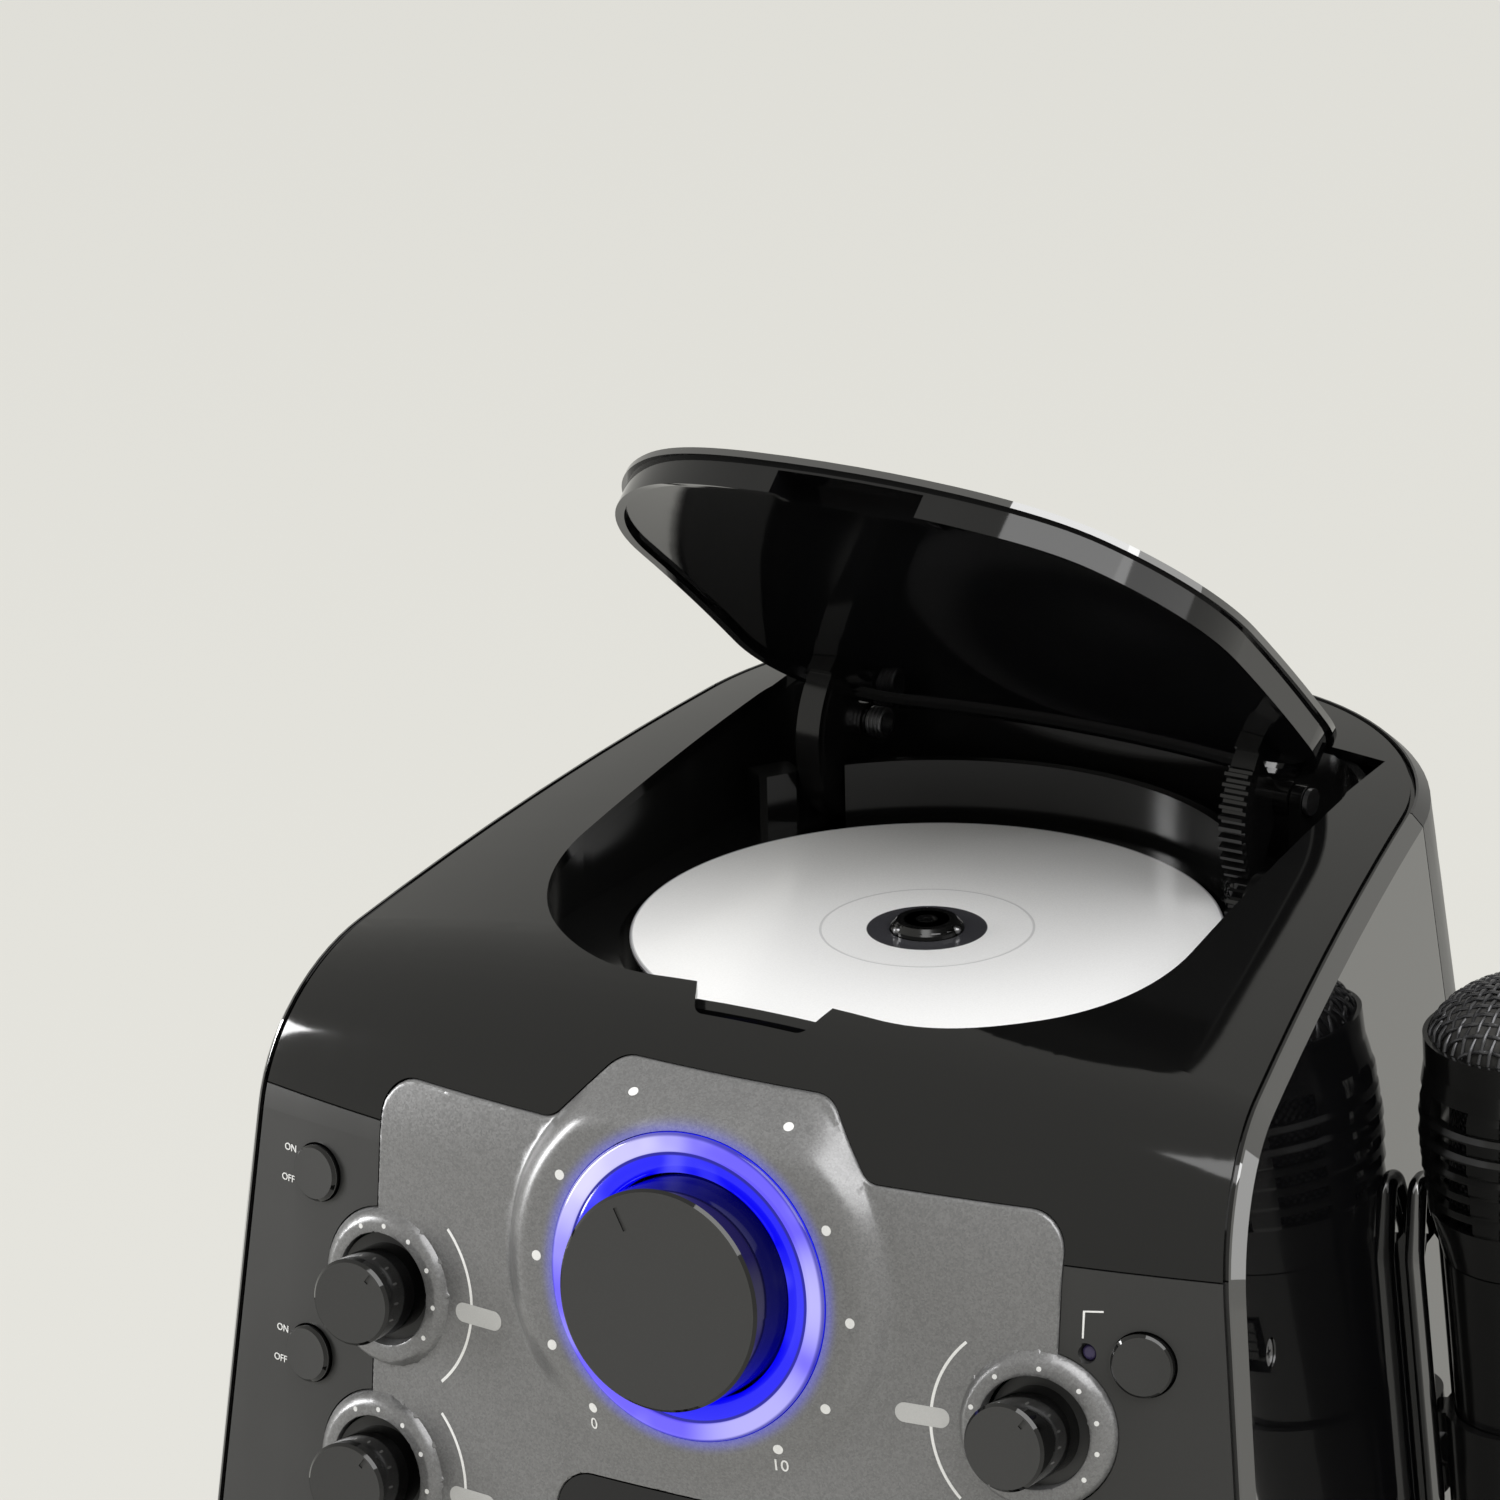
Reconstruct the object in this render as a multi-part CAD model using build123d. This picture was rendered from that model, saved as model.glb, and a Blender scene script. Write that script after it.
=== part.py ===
from build123d import *
import math
import os

# Karaoke machine with a top-loading disc deck, built in millimetres, +Z up.
# Drawn about the disc's spindle; the row's origin is on the floor in the middle of the depth.
# -Y is the front, +X the user's right.

# ---------------------------------------------------------------- driving dimensions
spindle_y = -8.5            # the spindle stands in front of the middle of the whole depth
disc_top = 308.0            # upper face of the disc above the floor
foot_height = 6.0
wall = 2.6                  # moulded walls of the cabinet
seam_gap = 0.35             # dark groove between neighbouring mouldings
shadow_width = 0.8
shadow_depth = 1.2
seat_gap = 0.3              # clearance of pieces that lie on each other
slide_gap = 0.3             # clearance round buttons and knobs

front_y = -92.25            # front face on the centre line, at front_level
front_level = disc_top - 43.0
front_lean = 6.5            # degrees that the front leans back
crown_radius = 470.0        # sideways crown of the front and the top
roll_start = disc_top - 30.4
roll_radius = 49.0          # roll from the front into the top
top_slope = 13.0            # slope of the top just behind the roll, degrees
top_radius = 732.0          # the top flattens towards the rear
top_length = 190.0

side_reach = 119.36         # half width at Y = 0 on the floor
side_taper = 0.1926         # narrowing per millimetre towards the rear
side_flare = 0.0846         # narrowing per millimetre upwards
rear_y = 88.0               # rear of the upper shell, at rear_level
rear_level = disc_top + 25.0
rear_lean = 8.0
rear_corner = 45.0
side_skin = 2.65            # thickness of side panels and rear cover
plan_front = -135.0         # the plan outline is drawn from here, ahead of the front
band_width = 2.2            # bevelled band round the side panels
lip_depth = 10.0
joint_y = 53.0              # side panels end here at rear_level

seam_level = disc_top - 26.5
bottom_level = foot_height + 0.2
base_thickness = 3.0

# disc deck
disc_radius = 60.0
disc_thickness = 1.2
disc_hole = 7.5
recess_radius = 62.5
well_floor = disc_top - 9.0
well_floor_thickness = 2.0
well_ledge = disc_top - 2.0
rib_wall = 2.0
crescent_inner = 64.6
crescent_outer = 66.8
crescent_top = disc_top + 12.0
guard_angle = 145.6
guard_radius = 69.4
guard_top = disc_top + 10.0
opening_front = -63.5
opening_rear = 68.0
opening_half_front = 72.0
opening_half_rear = 67.5
opening_corner_front = 45.0
opening_corner_rear = 20.0
lid_rear = 62.0
tub_rear = opening_rear + 3.5
lid_corner_rear = 30.0
liner_rear = 57.5
notch_mouth = 15.5          # half widths of the finger notch
notch_base = 12.4
notch_depth = 6.6
pocket_half = 16.5          # pull recess in the lid, over the notch
pocket_depth = 11.0

# lid and hinge
lid_open_angle = 50.0
hinge_y = 58.5
hinge_z = disc_top + 17.5
lid_gap = 0.5               # round the lid, inside the opening
lid_length_short = 3.4      # the lid's rear edge stops short of lid_rear by this
lid_corner_extra = 2.5
lid_cap_low = 0.3
lid_cap_high = 1.7
lid_plug_depth = 1.6        # locating rim of the cover inside the liner
liner_inset = 1.7           # the liner's skirt, measured from the opening's edge
liner_wall = 1.8
liner_floor_low = 4.8       # underside of the liner's floor below the skin
liner_thickness = 1.6
skirt_depth = 6.0
arm_x = 50.0
arm_rim_width = 5.4
arm_web = 2.4
arm_rim_inner = 18.4
arm_rim_outer = 20.9
arm_hub_radius = 3.8
arm_foot_front = 36.5       # the arm's foot under the lid, lid closed
arm_foot_rear = 46.0
pin_radius = 1.8
pin_clearance = 0.06
cheek_gap = 0.4
cheek_thickness = 2.6
cheek_radius = 3.3
gear_module = 0.7
sector_teeth_full = 63
sector_first_angle = 146.0
sector_last_angle = 242.0
pinion_teeth = 11
pinion_angle = 219.0
pinion_width = 4.6
damper_radius = 7.5
damper_length = 6.0
damper_shaft = 1.2
mesh_gap = 0.12

# controls on the front
knob_level = disc_top - 43.0
ring_radius = 31.2
ring_inner = 23.2
ring_proud = 2.6
dish_radius = 43.5
volume_radius = 22.5
volume_height = 14.4
volume_turn = -31.0         # where the pointers stand at rest, clockwise from the top
small_turn = 36.0
knob_wall = 1.8
knob_foot = -1.5            # lower rim of a knob's skirt against the skin
shaft_radius = 3.0
shaft_clearance = 0.06
small_x = 74.8
small_levels = (disc_top - 60.2, disc_top - 98.5)
small_radius = 8.9
small_height = 14.0
small_hole = 11.4           # dark well round a small knob, filled by the knob's flange
flange_height = -0.5
bezel_radius = 16.0
bezel_proud = 1.8
power_x = 94.4
power_level = disc_top - 41.4
light_x = 95.2
light_level = disc_top - 79.5
pair_x = 95.2
button_radius = 5.8
pair_radius = 6.4
button_proud = 1.6
button_travel = 2.0
pair_level = disc_top - 44.4
led_x = 83.8
led_level = disc_top - 43.6
led_radius = 1.6

# control panel outline, half widths and heights above the floor
panel_half = 78.0
panel_top = disc_top - 17.2
tab_half = 24.0
tab_foot = 36.0
tab_top = disc_top - 3.8
panel_bottom = disc_top - 128.0
panel_proud = 0.4
panel_thickness = 3.0
window_half = 30.0
window_top = disc_top - 87.0
window_bottom = disc_top - 119.0
window_corner = 8.0

key_level = disc_top - 141.0
key_pitch = 26.0
key_count = 4
key_width = 21.0
key_height = 9.0
key_proud = 1.2
key_travel = 1.2

speaker_level = 84.0
speaker_radius = 62.0
grille_radius = 68.0
seat_depth = 9.0
jack_x = 110.0
jack_level = 34.0
jack_bore = 3.25
jack_length = 14.0

# electronics
board_depth = 24.0
board_thickness = 1.6
board_half_width = 88.0
board_top = disc_top - 26.0
board_bottom = disc_top - 150.0
pot_radius = 8.5
pot_height = 8.0
switch_size = 7.0
switch_height = 4.0
stem_radius = 2.0
stem_clearance = 0.2
stem_grip = 0.6
main_board_level = 15.0
main_board_width = 130.0
main_board_depth = 80.0
main_board_y = 55.0

# disc mechanism
plate_level = disc_top - 23.0
plate_thickness = 1.2
turntable_radius = 14.5
turntable_thickness = 2.4
hub_radius = 7.35
hub_height = 2.0
spindle_radius = 1.2
motor_radius = 12.0
motor_height = 10.0
sled_start = 24.0
sled_travel = 32.0
sled_width = 36.0
sled_length = 20.0
sled_low = plate_level + 3.0
sled_high = well_floor - well_floor_thickness - 0.8
lens_radius = 3.6
rod_half_gap = 10.8
rod_radius_guide = 1.5
feed_module = 0.8
feed_teeth = 10
feed_width = 3.0
rack_gap = 0.15

# screws that hold the side panels and the rear cover
screw_head = 2.7
screw_shank = 1.4
screw_depth = 9.0
side_screws = ((-62.8, disc_top - 45.9), (-72.0, 60.0))
rear_screws = ((-30.0, 305.0), (30.0, 305.0), (-50.0, 24.0), (50.0, 24.0))

# microphone and its holder
mic_x = 121.8
mic_y = 30.8
mic_end = 133.0             # lower end of the microphone above the floor
mic_neck = 250.0            # where the handle enters the basket
mic_neck_radius = 18.4
mic_end_radius = 12.2
basket_radius = 23.4
basket_wall = 1.8
mesh_level = 297.0
mesh_radius = 21.6
mesh_height = 11.5
mesh_wall = 1.2
mesh_inner = 19.0
slot_rows = 6
slot_pitch = 4.4
slot_columns = 8
loop_rod = 2.0              # radius of the holder's bent rod
loop_half = 8.1
loop_gap = 1.2              # between the rod and the side panel
loop_top = 262.0
loop_bend = 249.0
loop_bottom = 141.0
plate_margin = 0.4
holder_plate = 2.0
clip_level = 196.0
clip_height = 20.0
clip_wall = 2.0
clip_gap = 0.3


def rad(angle):
    return math.radians(angle)


def turned_about_hinge(shape, angle):
    """Turns a shape about the lid's hinge axis."""
    axis = Axis((0, hinge_y, hinge_z), (1, 0, 0))
    return shape.rotate(axis, angle)


# ---------------------------------------------------------------- outer form
def skin_path():
    """Centre line of the skin: up the front, round the roll and back over the top."""
    lean = rad(front_lean)
    slope = rad(top_slope)
    low_z = -30.0
    low = (0, front_y - (front_level - low_z) * math.tan(lean), low_z)
    start_y = front_y - (front_level - roll_start) * math.tan(lean)
    start = (0, start_y, roll_start)
    centre = (start_y + roll_radius * math.cos(lean), roll_start - roll_radius * math.sin(lean))

    def on_roll(turn):
        return (
            0,
            centre[0] - roll_radius * math.cos(turn),
            centre[1] + roll_radius * math.sin(turn),
        )

    roll_end_turn = math.pi / 2 - slope
    roll_end = on_roll(roll_end_turn)
    top_centre = (
        roll_end[1] + top_radius * math.cos(roll_end_turn),
        roll_end[2] - top_radius * math.sin(roll_end_turn),
    )

    def on_top(turn):
        return (
            0,
            top_centre[0] - top_radius * math.cos(turn),
            top_centre[1] + top_radius * math.sin(turn),
        )

    top_turn = top_length / top_radius
    front = Edge.make_line(low, start)
    roll = Edge.make_three_point_arc(start, on_roll((lean + roll_end_turn) / 2), roll_end)
    top = Edge.make_three_point_arc(
        roll_end, on_top(roll_end_turn + top_turn / 2), on_top(roll_end_turn + top_turn)
    )
    return Wire([front, roll, top]), low


def beyond(offset):
    """Everything outside the crowned skin, moved outwards by offset."""
    if offset in beyond_store:
        return beyond_store[offset]
    path, low = skin_path()
    lean = rad(front_lean)
    plane = Plane(low, x_dir=(1, 0, 0), z_dir=(0, math.sin(lean), math.cos(lean)))
    radius = crown_radius + offset
    half = 175.0
    reach = 92.0
    # local y of this plane points into the cabinet, away from the viewer
    sag = radius - math.sqrt(radius**2 - half**2)
    arc = ThreePointArc((-half, sag - offset), (0, -offset), (half, sag - offset))
    sides = Polyline((half, sag - offset), (half, -reach), (-half, -reach), (-half, sag - offset))
    section = plane * make_face(arc + sides)
    solid = sweep(section, path=path)
    beyond_store[offset] = solid
    return solid


beyond_store = {}


def band(low, high):
    """The layer between two offsets of the skin."""
    return beyond(low) - beyond(high)


def plan_section(level, offset):
    """Outline of the cabinet in plan at a level, with its two rounded rear corners."""
    front = plan_front
    rear = rear_y + (rear_level - level) * math.tan(rad(rear_lean)) + offset
    stretch = math.sqrt(1 + side_taper**2)
    reach = side_reach - side_flare * level + offset * stretch

    def side(y):
        return reach - side_taper * y

    points = [(-side(front), front), (side(front), front), (side(rear), rear), (-side(rear), rear)]
    outline = Polygon(*points, align=None)
    corners = outline.vertices().sort_by(Axis.Y)[2:]
    return Pos(0, 0, level) * fillet(corners, rear_corner + offset)


def wedge(offset):
    """Tapering prism of the cabinet's plan, moved outwards by offset."""
    return loft([plan_section(0, offset), plan_section(380.0, offset)], ruled=True)


def slab(low, high):
    return Pos(0, 0, low) * Box(400, 500, high - low, align=(Align.CENTER, Align.CENTER, Align.MIN))


def behind_joint():
    """Half space behind the line where side panels meet the rear cover."""
    cut = Box(400, 300, 800, align=(Align.CENTER, Align.MIN, Align.CENTER))
    return Pos(0, joint_y, rear_level) * Rot(X=rear_lean) * cut


def front_plane(x, level, proud=0.0):
    """Plane on the front skin with its normal along the knobs' axes."""
    lean = rad(front_lean)
    sag = crown_radius - math.sqrt(crown_radius**2 - x**2)
    base = level + math.sin(lean) * sag
    y = front_y - (front_level - base) * math.tan(lean) + math.cos(lean) * sag
    origin = (x, y, level)
    plane = Plane(origin, x_dir=(1, 0, 0), z_dir=(0, -math.cos(lean), math.sin(lean)))
    return plane.offset(proud)


def front_cylinder(x, level, radius, low, high):
    """Round solid square to the front, between two heights over the skin."""
    tool = Cylinder(radius, high - low, align=(Align.CENTER, Align.CENTER, Align.MIN))
    return front_plane(x, level) * Pos(0, 0, low) * tool


def front_cone(x, level, radius_low, radius_high, low, high):
    tool = Cone(radius_low, radius_high, high - low, align=(Align.CENTER, Align.CENTER, Align.MIN))
    return front_plane(x, level) * Pos(0, 0, low) * tool


def elevation_prism(sketch):
    """Extrudes an outline drawn in the front view (X, Z) through the front."""
    return extrude(Plane.XZ * sketch, amount=220)


def rounded_outline(points, radii):
    return make_face(FilletPolyline(*points, radius=radii, close=True))


def panel_outline(margin):
    half = panel_half + margin
    slope = math.atan2(tab_top - panel_top, tab_foot - tab_half)
    shift = margin * math.tan(slope / 2)
    right = [
        (tab_half + shift, tab_top + margin),
        (tab_foot + shift, panel_top + margin),
        (half, panel_top + margin),
        (half, panel_bottom - margin),
    ]
    left = [(-x, z) for x, z in reversed(right)]
    radii = [8.0, 5.0, 8.0, 8.0]
    outline = rounded_outline(right + left, radii + radii[::-1])
    for level in small_levels:
        for side in (-1, 1):
            outline += Pos(side * small_x, level) * Circle(bezel_radius + margin)
    return outline


def window_outline(margin):
    width = 2 * (window_half + margin)
    height = window_top - window_bottom + 2 * margin
    middle = (window_top + window_bottom) / 2
    return Pos(0, middle) * RectangleRounded(width, height, window_corner + margin)


def opening_outline(margin):
    """Outline of the disc opening in plan."""
    front = opening_front - margin
    rear = opening_rear + margin
    half_front = opening_half_front + margin
    half_rear = opening_half_rear + margin
    points = [(-half_front, front), (half_front, front), (half_rear, rear), (-half_rear, rear)]
    sketch = Polygon(*points, align=None)
    corners = sketch.vertices().sort_by(Axis.Y)
    sketch = fillet(corners[:2], opening_corner_front + margin)
    corners = sketch.vertices().sort_by(Axis.Y)[-2:]
    return fillet(corners, opening_corner_rear + margin)


def tub_outline(margin):
    """The deck's tub: the opening, with more room behind for the lid's rear edge."""
    return opening_outline(margin) + Pos(0, tub_rear - opening_rear) * opening_outline(margin)


def plan_prism(sketch, low, high):
    return extrude(Pos(0, 0, low) * sketch, amount=high - low, dir=(0, 0, 1))


def notch_prism():
    inner = opening_front + 6.0
    outer = opening_front - notch_depth
    points = [(-notch_mouth, inner), (notch_mouth, inner), (notch_mouth, opening_front),
              (notch_base, outer), (-notch_base, outer), (-notch_mouth, opening_front)]
    outline = Polygon(*points, align=None)
    corners = outline.vertices().sort_by(Axis.Y)[:2]
    return plan_prism(fillet(corners, 3.0), disc_top - 20, disc_top + 40)


# ---------------------------------------------------------------- cabinet mouldings
def lips(inner_offset=-wall):
    """Returned edge of a moulding along the sides and the rear."""
    ring = wedge(0) - wedge(inner_offset)
    return (ring & beyond(-lip_depth)) - beyond(-wall / 2)


def make_upper_shell():
    skin = band(-wall, 0) & wedge(0)
    shell = (skin + lips()) & slab(seam_level, disc_top + 60)
    shell -= plan_prism(opening_outline(0), disc_top - 30, disc_top + 60)
    shell -= notch_prism()
    shell -= elevation_prism(panel_outline(slide_gap)) & slab(0, panel_top + 30) & in_front_of(-60)
    shell -= hinge_cylinder(0, lid_swing() + 0.5, 2 * opening_half_rear)
    return shell - shadow_gap()


def shadow_gap():
    """Rebate along a moulding's outer edge that makes the groove to the side panels look wide."""
    return (wedge(1.0) - wedge(-shadow_width)) & band(-shadow_depth, 1.0)


def in_front_of(y):
    return Pos(0, y, 0) * Box(400, 300, 900, align=(Align.CENTER, Align.MAX, Align.CENTER))


def make_front_fascia():
    skin = (band(-wall, 0) + lips()) & wedge(0)
    shell = skin & slab(bottom_level, seam_level - seam_gap)
    shell -= elevation_prism(panel_outline(slide_gap))
    shell += speaker_seat()
    shell -= front_cylinder(0, speaker_level, speaker_radius, -40, 20)
    for index in range(key_count):
        shell -= key_prism(index, slide_gap, -10, 10)
    for x, level, radius in round_buttons():
        shell -= front_cylinder(x, level, radius + slide_gap, -10, 10)
    shell -= front_cylinder(led_x, led_level, led_radius + 0.15, -10, 10)
    shell -= front_cone(led_x, led_level, led_radius + 0.15, 2.2, -0.8, 0.2)
    for side in (-1, 1):
        shell -= front_cylinder(side * jack_x, jack_level, 6.2, -20, 10)
    return shell - shadow_gap()


def speaker_seat():
    """Flat mounting ring behind the crowned front, with the wall over it."""
    outer = front_cylinder(0, speaker_level, speaker_radius + 7, -seat_depth, 6)
    inner = front_cylinder(0, speaker_level, speaker_radius, -seat_depth - 1, 7)
    return (outer - inner) - beyond(-wall / 2)


def round_buttons():
    return (
        (-power_x, power_level, button_radius),
        (-light_x, light_level, button_radius),
        (pair_x, pair_level, pair_radius),
    )


def make_control_panel():
    plate = band(-panel_thickness, panel_proud) & elevation_prism(panel_outline(0))
    rim = elevation_prism(panel_outline(3.0)) - elevation_prism(panel_outline(-4.0))
    flange = band(-wall - seat_gap - 1.4, -wall - seat_gap) & rim
    flange -= front_cylinder(led_x, led_level, led_radius + slide_gap, -20, 20)
    panel = plate + (flange & wedge(-wall - 0.4))
    panel += dish()
    for side in (-1, 1):
        for level in small_levels:
            panel += collar(side * small_x, level)
    panel -= front_cylinder(0, knob_level, ring_radius + 0.2, -20, 20)
    for side in (-1, 1):
        for level in small_levels:
            panel -= front_cylinder(side * small_x, level, small_hole, -20, 20)
    panel -= elevation_prism(window_outline(slide_gap))
    return panel


def dish():
    """Raised dish round the volume knob: a shallow cone with a flat top edge."""
    low = 0.2 - panel_thickness
    cone = front_cone(0, knob_level, dish_radius + 0.6, dish_radius - 6.0, low, ring_proud)
    inner = front_cylinder(0, knob_level, ring_radius, low - 1, ring_proud + 1)
    return ((cone & elevation_prism(panel_outline(0))) - inner) - above_tab()


def above_tab():
    """What lies over the slope from the ring's top down to the tab's top edge."""
    lean = rad(front_lean)
    ring_edge = ring_radius + 1.0
    y = front_y + ring_edge * math.sin(lean) - ring_proud * math.cos(lean)
    z = knob_level + ring_edge * math.cos(lean) + ring_proud * math.sin(lean)
    start_y = front_y - (front_level - roll_start) * math.tan(lean)
    centre_y = start_y + roll_radius * math.cos(lean)
    centre_z = roll_start - roll_radius * math.sin(lean)
    reach = roll_radius + panel_proud
    edge_y = centre_y - math.sqrt(reach**2 - (tab_top - centre_z) ** 2)
    slope = math.degrees(math.atan2(tab_top - z, edge_y - y))
    cut = Box(200, 80, 40, align=(Align.CENTER, Align.CENTER, Align.MIN))
    return Pos(0, y, z) * Rot(X=slope) * cut


def skin_plane(x, level):
    """Plane that touches the crowned front, its normal turned outwards with the crown."""
    flat = front_plane(x, level)
    turn = math.asin(x / crown_radius)
    normal = flat.z_dir * math.cos(turn) + flat.x_dir * math.sin(turn)
    along = flat.x_dir * math.cos(turn) - flat.z_dir * math.sin(turn)
    return Plane(flat.origin, x_dir=along, z_dir=normal)


def collar(x, level):
    """Raised collar round a small knob, lying on the crowned panel."""
    height = bezel_proud + 2.4
    ring = Cone(bezel_radius + 0.4, bezel_radius - 1.8, height, align=(Align.CENTER, Align.CENTER, Align.MIN))
    return (skin_plane(x, level) * Pos(0, 0, -2.4) * ring) & elevation_prism(panel_outline(0))


def side_ring():
    """Outer skin round the sides and the rear, with a bevelled edge along the front and top."""
    if "ring" not in ring_store:
        ring = (wedge(seam_gap + side_skin) - wedge(seam_gap)) - beyond(0)
        ring = ring & slab(bottom_level, disc_top + 45)
        ring_store["ring"] = ring
    return ring_store["ring"]


ring_store = {}


def make_side_panel(side):
    if side < 0:
        return mirror(make_side_panel(1), about=Plane.YZ)
    half = Pos(150, -150 + joint_y + 60, 170) * Box(220, 420, 400)
    panel = (side_ring() & half) - behind_joint()
    panel = chamfer(skin_edges(panel), band_width)
    for y, level in side_screws:
        panel -= side_cylinder(1, y, level, screw_head + 0.3, -1.9, 3)
        panel -= side_cylinder(1, y, level, screw_shank + 0.15, -6, 3)
    return panel


def skin_edges(panel):
    """Outer edges of the right side panel that run along the crowned skin."""
    chosen = []
    for edge in panel.edges():
        middle = edge.position_at(0.5)
        plane = side_plane(1, middle.Y, middle.Z)
        on_face = abs((middle - plane.origin).dot(plane.z_dir)) < 0.05
        if on_face and middle.Y < joint_y - 10 and middle.Z > bottom_level + 10 and edge.length > 10:
            chosen.append(edge)
    return chosen


def side_plane(side, y, level):
    """Plane on the outer face of a side panel, normal outwards."""
    stretch = math.sqrt(1 + side_taper**2 + side_flare**2)
    x = side_reach - side_taper * y - side_flare * level
    x += (seam_gap + side_skin) * math.sqrt(1 + side_taper**2)
    normal = (side / stretch, side_taper / stretch, side_flare / stretch)
    return Plane((side * x, y, level), x_dir=(0, 0, 1), z_dir=normal)


def side_cylinder(side, y, level, radius, low, high):
    tool = Cylinder(radius, high - low, align=(Align.CENTER, Align.CENTER, Align.MIN))
    return side_plane(side, y, level) * Pos(0, 0, low) * tool


def make_rear_cover():
    cover = side_ring() & (Pos(0, seam_gap, 0) * behind_joint())
    inside = wedge(seam_gap + 1.0).solids()[0]
    edges = [edge for edge in cover.edges() if edge.position_at(0.5).Z > disc_top + 10 and edge.length > 5]
    outer = [edge for edge in edges if not inside.is_inside(edge.position_at(0.5))]
    return finish_rear_cover(chamfer(outer, band_width))


# ---------------------------------------------------------------- bottom, feet, rear fittings
def make_inner_frame():
    """Side walls of the cabinet, behind the side panels."""
    walls = wedge(-seat_gap) - wedge(-seat_gap - wall)
    walls &= slab(foot_height + base_thickness + seat_gap, disc_top + 40)
    walls -= beyond(-lip_depth - seat_gap)
    ribs = wedge(-seat_gap - wall / 2) - wedge(-seat_gap - wall - 5)
    ribs &= slab(150, 154)
    ribs -= beyond(-wall - 10)
    frame = walls + ribs
    for side in (-1, 1):
        for y, level in side_screws:
            frame -= side_cylinder(side, y, level, screw_shank + 0.03, -12, 3)
    for x, level in rear_screws:
        frame -= rear_cylinder(x, level, screw_shank + 0.03, -12, 3)
    frame -= rear_block(2, socket_level, 92, 24, -20, 3)
    tall = vent_count * vent_pitch
    frame -= rear_block(0, vent_level, vent_width, tall, -20, 3, 3.0)
    return frame


def make_case_screws():
    """Countersunk screws of the side panels and the rear cover."""
    group = []
    profile = [(0, -0.5), (screw_head, -0.5), (screw_head, -0.9), (screw_shank, -1.8), (screw_shank, -screw_depth),
               (0, -screw_depth)]
    screw = revolve(Plane.XZ * Polygon(*profile, align=None), Axis.Z)
    for turn in (0, 90):
        screw -= Pos(0, 0, -0.7) * Rot(Z=turn) * Box(2.6, 0.6, 0.8)
    for side in (-1, 1):
        for y, level in side_screws:
            group += (side_plane(side, y, level) * screw).solids()
    for x, level in rear_screws:
        group += (rear_plane(x, level) * screw).solids()
    return Compound(group)


def make_base_plate():
    plate = wedge(-seat_gap) - beyond(-lip_depth - seat_gap)
    plate += wedge(-wall - seat_gap) - beyond(-wall - seat_gap)
    plate &= slab(foot_height, foot_height + base_thickness)
    for x, y in board_posts():
        height = main_board_level - foot_height - base_thickness
        post = Cylinder(3.5, height, align=(Align.CENTER, Align.CENTER, Align.MIN))
        plate += Pos(x, y, foot_height + base_thickness) * post
    return plate


def board_posts():
    half_width = main_board_width / 2 - 8
    half_depth = main_board_depth / 2 - 8
    return [(x, main_board_y + y) for x in (-half_width, half_width) for y in (-half_depth, half_depth)]


foot_places = [(-105, -92), (105, -92), (-72, 104), (72, 104)]
foot_radius = 11.0


def make_feet():
    shape = None
    for x, y in foot_places:
        foot = Cylinder(foot_radius, foot_height, align=(Align.CENTER, Align.CENTER, Align.MIN))
        foot = chamfer(foot.edges().group_by(Axis.Z)[0], 1.2)
        foot = Pos(x, y, 0) * foot
        shape = foot if shape is None else Compound([*shape.solids(), *foot.solids()])
    return shape


def rear_plane(x, level):
    """Plane on the rear cover's outer face, normal outwards."""
    lean = rad(rear_lean)
    y = rear_y + (rear_level - level) * math.tan(lean) + seam_gap + side_skin
    normal = (0, math.cos(lean), math.sin(lean))
    return Plane((x, y, level), x_dir=(-1, 0, 0), z_dir=normal)


def rear_block(x, level, width, height, low, high, corner=0.0):
    sketch = RectangleRounded(width, height, corner) if corner else Rectangle(width, height)
    return rear_plane(x, level) * Pos(0, 0, low) * extrude(sketch, amount=high - low)


def rear_cylinder(x, level, radius, low, high):
    tool = Cylinder(radius, high - low, align=(Align.CENTER, Align.CENTER, Align.MIN))
    return rear_plane(x, level) * Pos(0, 0, low) * tool


inlet_x = -28.0
inlet_level = 44.0
socket_level = 44.0
socket_places = (4.0, 18.0, 32.0)
vent_count = 9
vent_pitch = 9.0
vent_width = 70.0
vent_height = 3.2
vent_level = 150.0


def finish_rear_cover(cover):
    cover -= rear_block(inlet_x, inlet_level, 22.6, 13.6, -10, 10, 3.0)
    for x in socket_places:
        cover -= rear_cylinder(x, socket_level, 5.2, -10, 10)
    for x, level in rear_screws:
        cover -= rear_cylinder(x, level, screw_head + 0.3, -1.9, 3)
        cover -= rear_cylinder(x, level, screw_shank + 0.15, -6, 3)
    for index in range(vent_count):
        level = vent_level + (index - (vent_count - 1) / 2) * vent_pitch
        cover -= rear_block(0, level, vent_width, vent_height, -10, 10, 1.5)
    return cover


def make_power_inlet():
    """Two-pin inlet for a figure-eight lead."""
    body = rear_block(inlet_x, inlet_level, 22.0, 13.0, -14, 1.0, 2.8)
    body += rear_block(inlet_x, inlet_level, 26.0, 17.0, -side_skin - 2.2, -side_skin - 0.2, 3.0)
    pocket = rear_block(inlet_x, inlet_level, 15.0, 8.0, -10, 2, 3.9)
    pins = None
    for shift in (-4.0, 4.0):
        pin = rear_cylinder(inlet_x + shift, inlet_level, 1.2, -10.5, -2)
        pins = pin if pins is None else pins + pin
    return (body - pocket) + pins


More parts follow.
